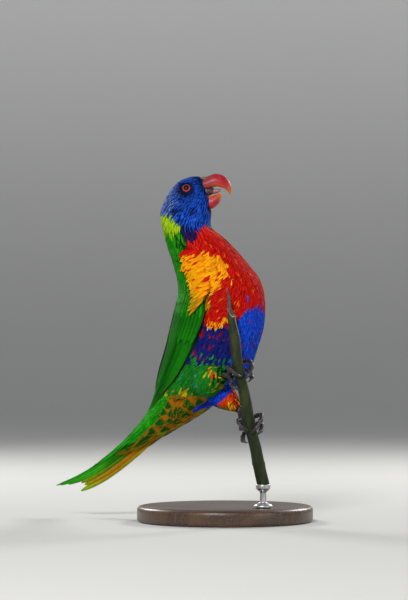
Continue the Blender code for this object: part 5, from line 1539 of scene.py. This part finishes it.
for side, (label, palm_angle, height) in FEET.items():
    palm_at = on_stem(palm_angle, 7.6, height)
    hip, ankle = np.array(THIGHS[side][0]), np.array(THIGHS[side][1])
    points, faces, hard, claws, claw_faces = [], [], [], [], []
    # Palm and the short shank up into the thigh feathers.
    shank = np.array([ankle + (hip - ankle) * SHANK_SUNK, ankle, (ankle + palm_at) / 2, palm_at,
                      palm_at + (palm_at - ankle) * 0.10])
    places = np.linspace(0, 4, 90)
    path = read_rows(shank, places)
    sizes = np.interp(places, (0, 1, 2, 3, 3.6, 4), (2.3, 2.3, 2.1, 3.0, 2.9, 1.6))
    outer = unit(path - on_stem(palm_angle, 0.0, path[:, 2]))
    plates = np.abs(np.sin(places * 7.0)) ** 0.5
    scutes = plates[:, None] * ease(np.cos(full_turn(36)), 0.1, 0.7)[None]
    add_rings(limb_rings(path, sizes[:, None] * (0.97 + 0.06 * scutes), outer), points, faces)
    hard.append(scutes.reshape(-1))
    for rows in TOES.values():
        last = len(rows) - 1
        joint = last - 1.75
        places = np.linspace(0, joint, 110)
        path, outer = toe_path(rows, places, palm_angle, height)
        pads = 1.0 + 0.13 * np.cos(2 * np.pi * places)
        turns = full_turn(32)
        length = np.concatenate([[0], np.cumsum(np.linalg.norm(np.diff(path, axis=0), axis=1))])
        plates = np.abs(np.sin(length * np.pi / 1.45)) ** 0.45
        scutes = plates[:, None] * ease(np.cos(turns), 0.15, 0.65)[None]
        under = ease(-np.cos(turns), 0.1, 0.9)[None] * (0.10 * np.sin(length * np.pi * 2 / 1.9)[:, None])
        end = np.sqrt(np.clip((joint + 0.02 - places) / 0.16, 0.05, 1))
        size = 1.72 * pads * (1 - 0.10 * places / last) * np.maximum(end, 0.45)
        add_rings(limb_rings(path, size[:, None] * (0.93 + 0.085 * scutes + under), outer), points, faces)
        hard.append(scutes.reshape(-1))
        # Its claw starts inside the last joint and tapers along the same line.
        places = np.linspace(joint - 0.35, last, 50)
        path, outer = toe_path(rows, places, palm_angle, height)
        share = (places - places[0]) / (last - places[0])
        size = 1.12 * (1 - share ** 1.4) + 0.10
        turns = full_turn(24)
        keel = 1 + 0.18 * np.cos(turns) - 0.12 * ease(-np.cos(turns), 0.3, 1.0)
        add_rings(limb_rings(path, size[:, None] * keel[None], outer), claws, claw_faces)
    foot = new_piece(f"toes_{label}", np.concatenate(points), faces, scaly_skin,
                     (f"foot_{label}",))
    carry(foot.data, "scute", "FLOAT", np.concatenate(hard))
    new_piece(f"claws_{label}", np.concatenate(claws), claw_faces, claw_horn)


# CAMERA, LIGHT AND FLOOR
# The photograph looks level at the bird from its right side. A wide pale floor curves up into a round wall
# far behind everything, which glows with painted light that rises from none on the floor, and large soft
# lights with two rim lights stand in for a studio.
# All lengths here are metres.
ROOM_RADIUS, ROOM_BEND, ROOM_HEIGHT = 3.6, 1.2, 3.2
bend = np.linspace(0, np.pi / 2, 20)
reach = np.concatenate([[0.02, 1.0], ROOM_RADIUS - ROOM_BEND + ROOM_BEND * np.sin(bend), [ROOM_RADIUS]])
# The floor lies a hair below the stand's foot.
climb = np.concatenate([[0.0, 0.0], ROOM_BEND - ROOM_BEND * np.cos(bend), [ROOM_HEIGHT]]) - 0.0002
sides = 96
turns = full_turn(sides)
room = np.stack(np.broadcast_arrays(
    reach[:, None] * np.cos(turns), reach[:, None] * np.sin(turns), climb[:, None]), -1)
sweep_mesh = bpy.data.meshes.new("backdrop")
sweep_mesh.from_pydata(room.reshape(-1, 3).tolist(), [],
                       [face[::-1] for face in tube_faces(len(reach), sides, True, False)])
sweep_mesh.shade_smooth()
# The backdrop glows with painted light: none on the floor, rising to full a metre up the wall.
carry(sweep_mesh, "glow", "FLOAT", np.repeat(ease(climb, 0.0, 1.0), sides))
glowing_paper, shader, place = new_finish("pale_glowing_paper", Roughness=0.9, Emission_Strength=1.0)
glow = place.colour(0.0, 0.0, 0.0).tinted((0.22, 0.22, 0.22), place.carried("glow", 2))
glow.into(shader, "Emission Color")
place.colour(0.60, 0.60, 0.59).tinted((0.52, 0.52, 0.51), place.clouds(3.0) * 0.3).into(shader, "Base Color")
sweep_mesh.materials.append(glowing_paper)
backdrop = bpy.data.objects.new("backdrop", sweep_mesh)
bpy.context.scene.collection.objects.link(backdrop)


def soft_light(name, at, aim, size, watts, colour):
    """A round soft lamp, aimed at a point. Places are metres."""
    lamp = bpy.data.lights.new(name, "AREA")
    lamp.shape, lamp.size, lamp.energy, lamp.color = "DISK", size, watts, colour
    light = bpy.data.objects.new(name, lamp)
    bpy.context.scene.collection.objects.link(light)
    light.location = at
    light.rotation_mode = "QUATERNION"
    light.rotation_quaternion = (Vector(aim) - Vector(at)).to_track_quat("-Z", "Y")


soft_light("key_light", (-0.35, -1.25, 1.05), (-0.01, 0, 0.17), 0.45, 17.0, (1.0, 0.985, 0.96))
soft_light("fill_light", (1.2, -0.9, 0.45), (-0.01, 0, 0.17), 0.9, 3.0, (0.93, 0.97, 1.0))
soft_light("left_rim_light", (-0.62, 0.80, 0.62), (-0.03, 0, 0.19), 0.30, 6.0, (1.0, 1.0, 0.97))
soft_light("right_rim_light", (0.66, 0.80, 0.62), (0.0, 0, 0.18), 0.30, 7.0, (1.0, 0.98, 0.94))
world = bpy.data.worlds.new("studio")
world.use_nodes = True
world.node_tree.nodes["Background"].inputs["Color"].default_value = (0.80, 0.86, 0.92, 1.0)
world.node_tree.nodes["Background"].inputs["Strength"].default_value = 0.18
bpy.context.scene.world = world
bpy.context.scene.view_settings.view_transform = "Standard"
# A long lens, far off and level, as the photograph was taken. At this distance 0.45 m fills the
# frame's long side.
CAMERA_FAR, VIEW_TALL, SENSOR = 2.4, 0.45, 36.0
lens = bpy.data.cameras.new("camera")
camera = bpy.data.objects.new("camera", lens)
bpy.context.scene.collection.objects.link(camera)
lens.sensor_fit, lens.sensor_width = "AUTO", SENSOR
lens.lens = SENSOR * CAMERA_FAR / VIEW_TALL
lens.clip_start, lens.clip_end = 0.05, 50.0
camera.location = (-0.01575, -CAMERA_FAR, 0.166)
camera.location = (-0.01575, -2.4, 0.166)
camera.rotation_euler = (math.pi / 2, 0.0, 0.0)
bpy.context.scene.camera = camera
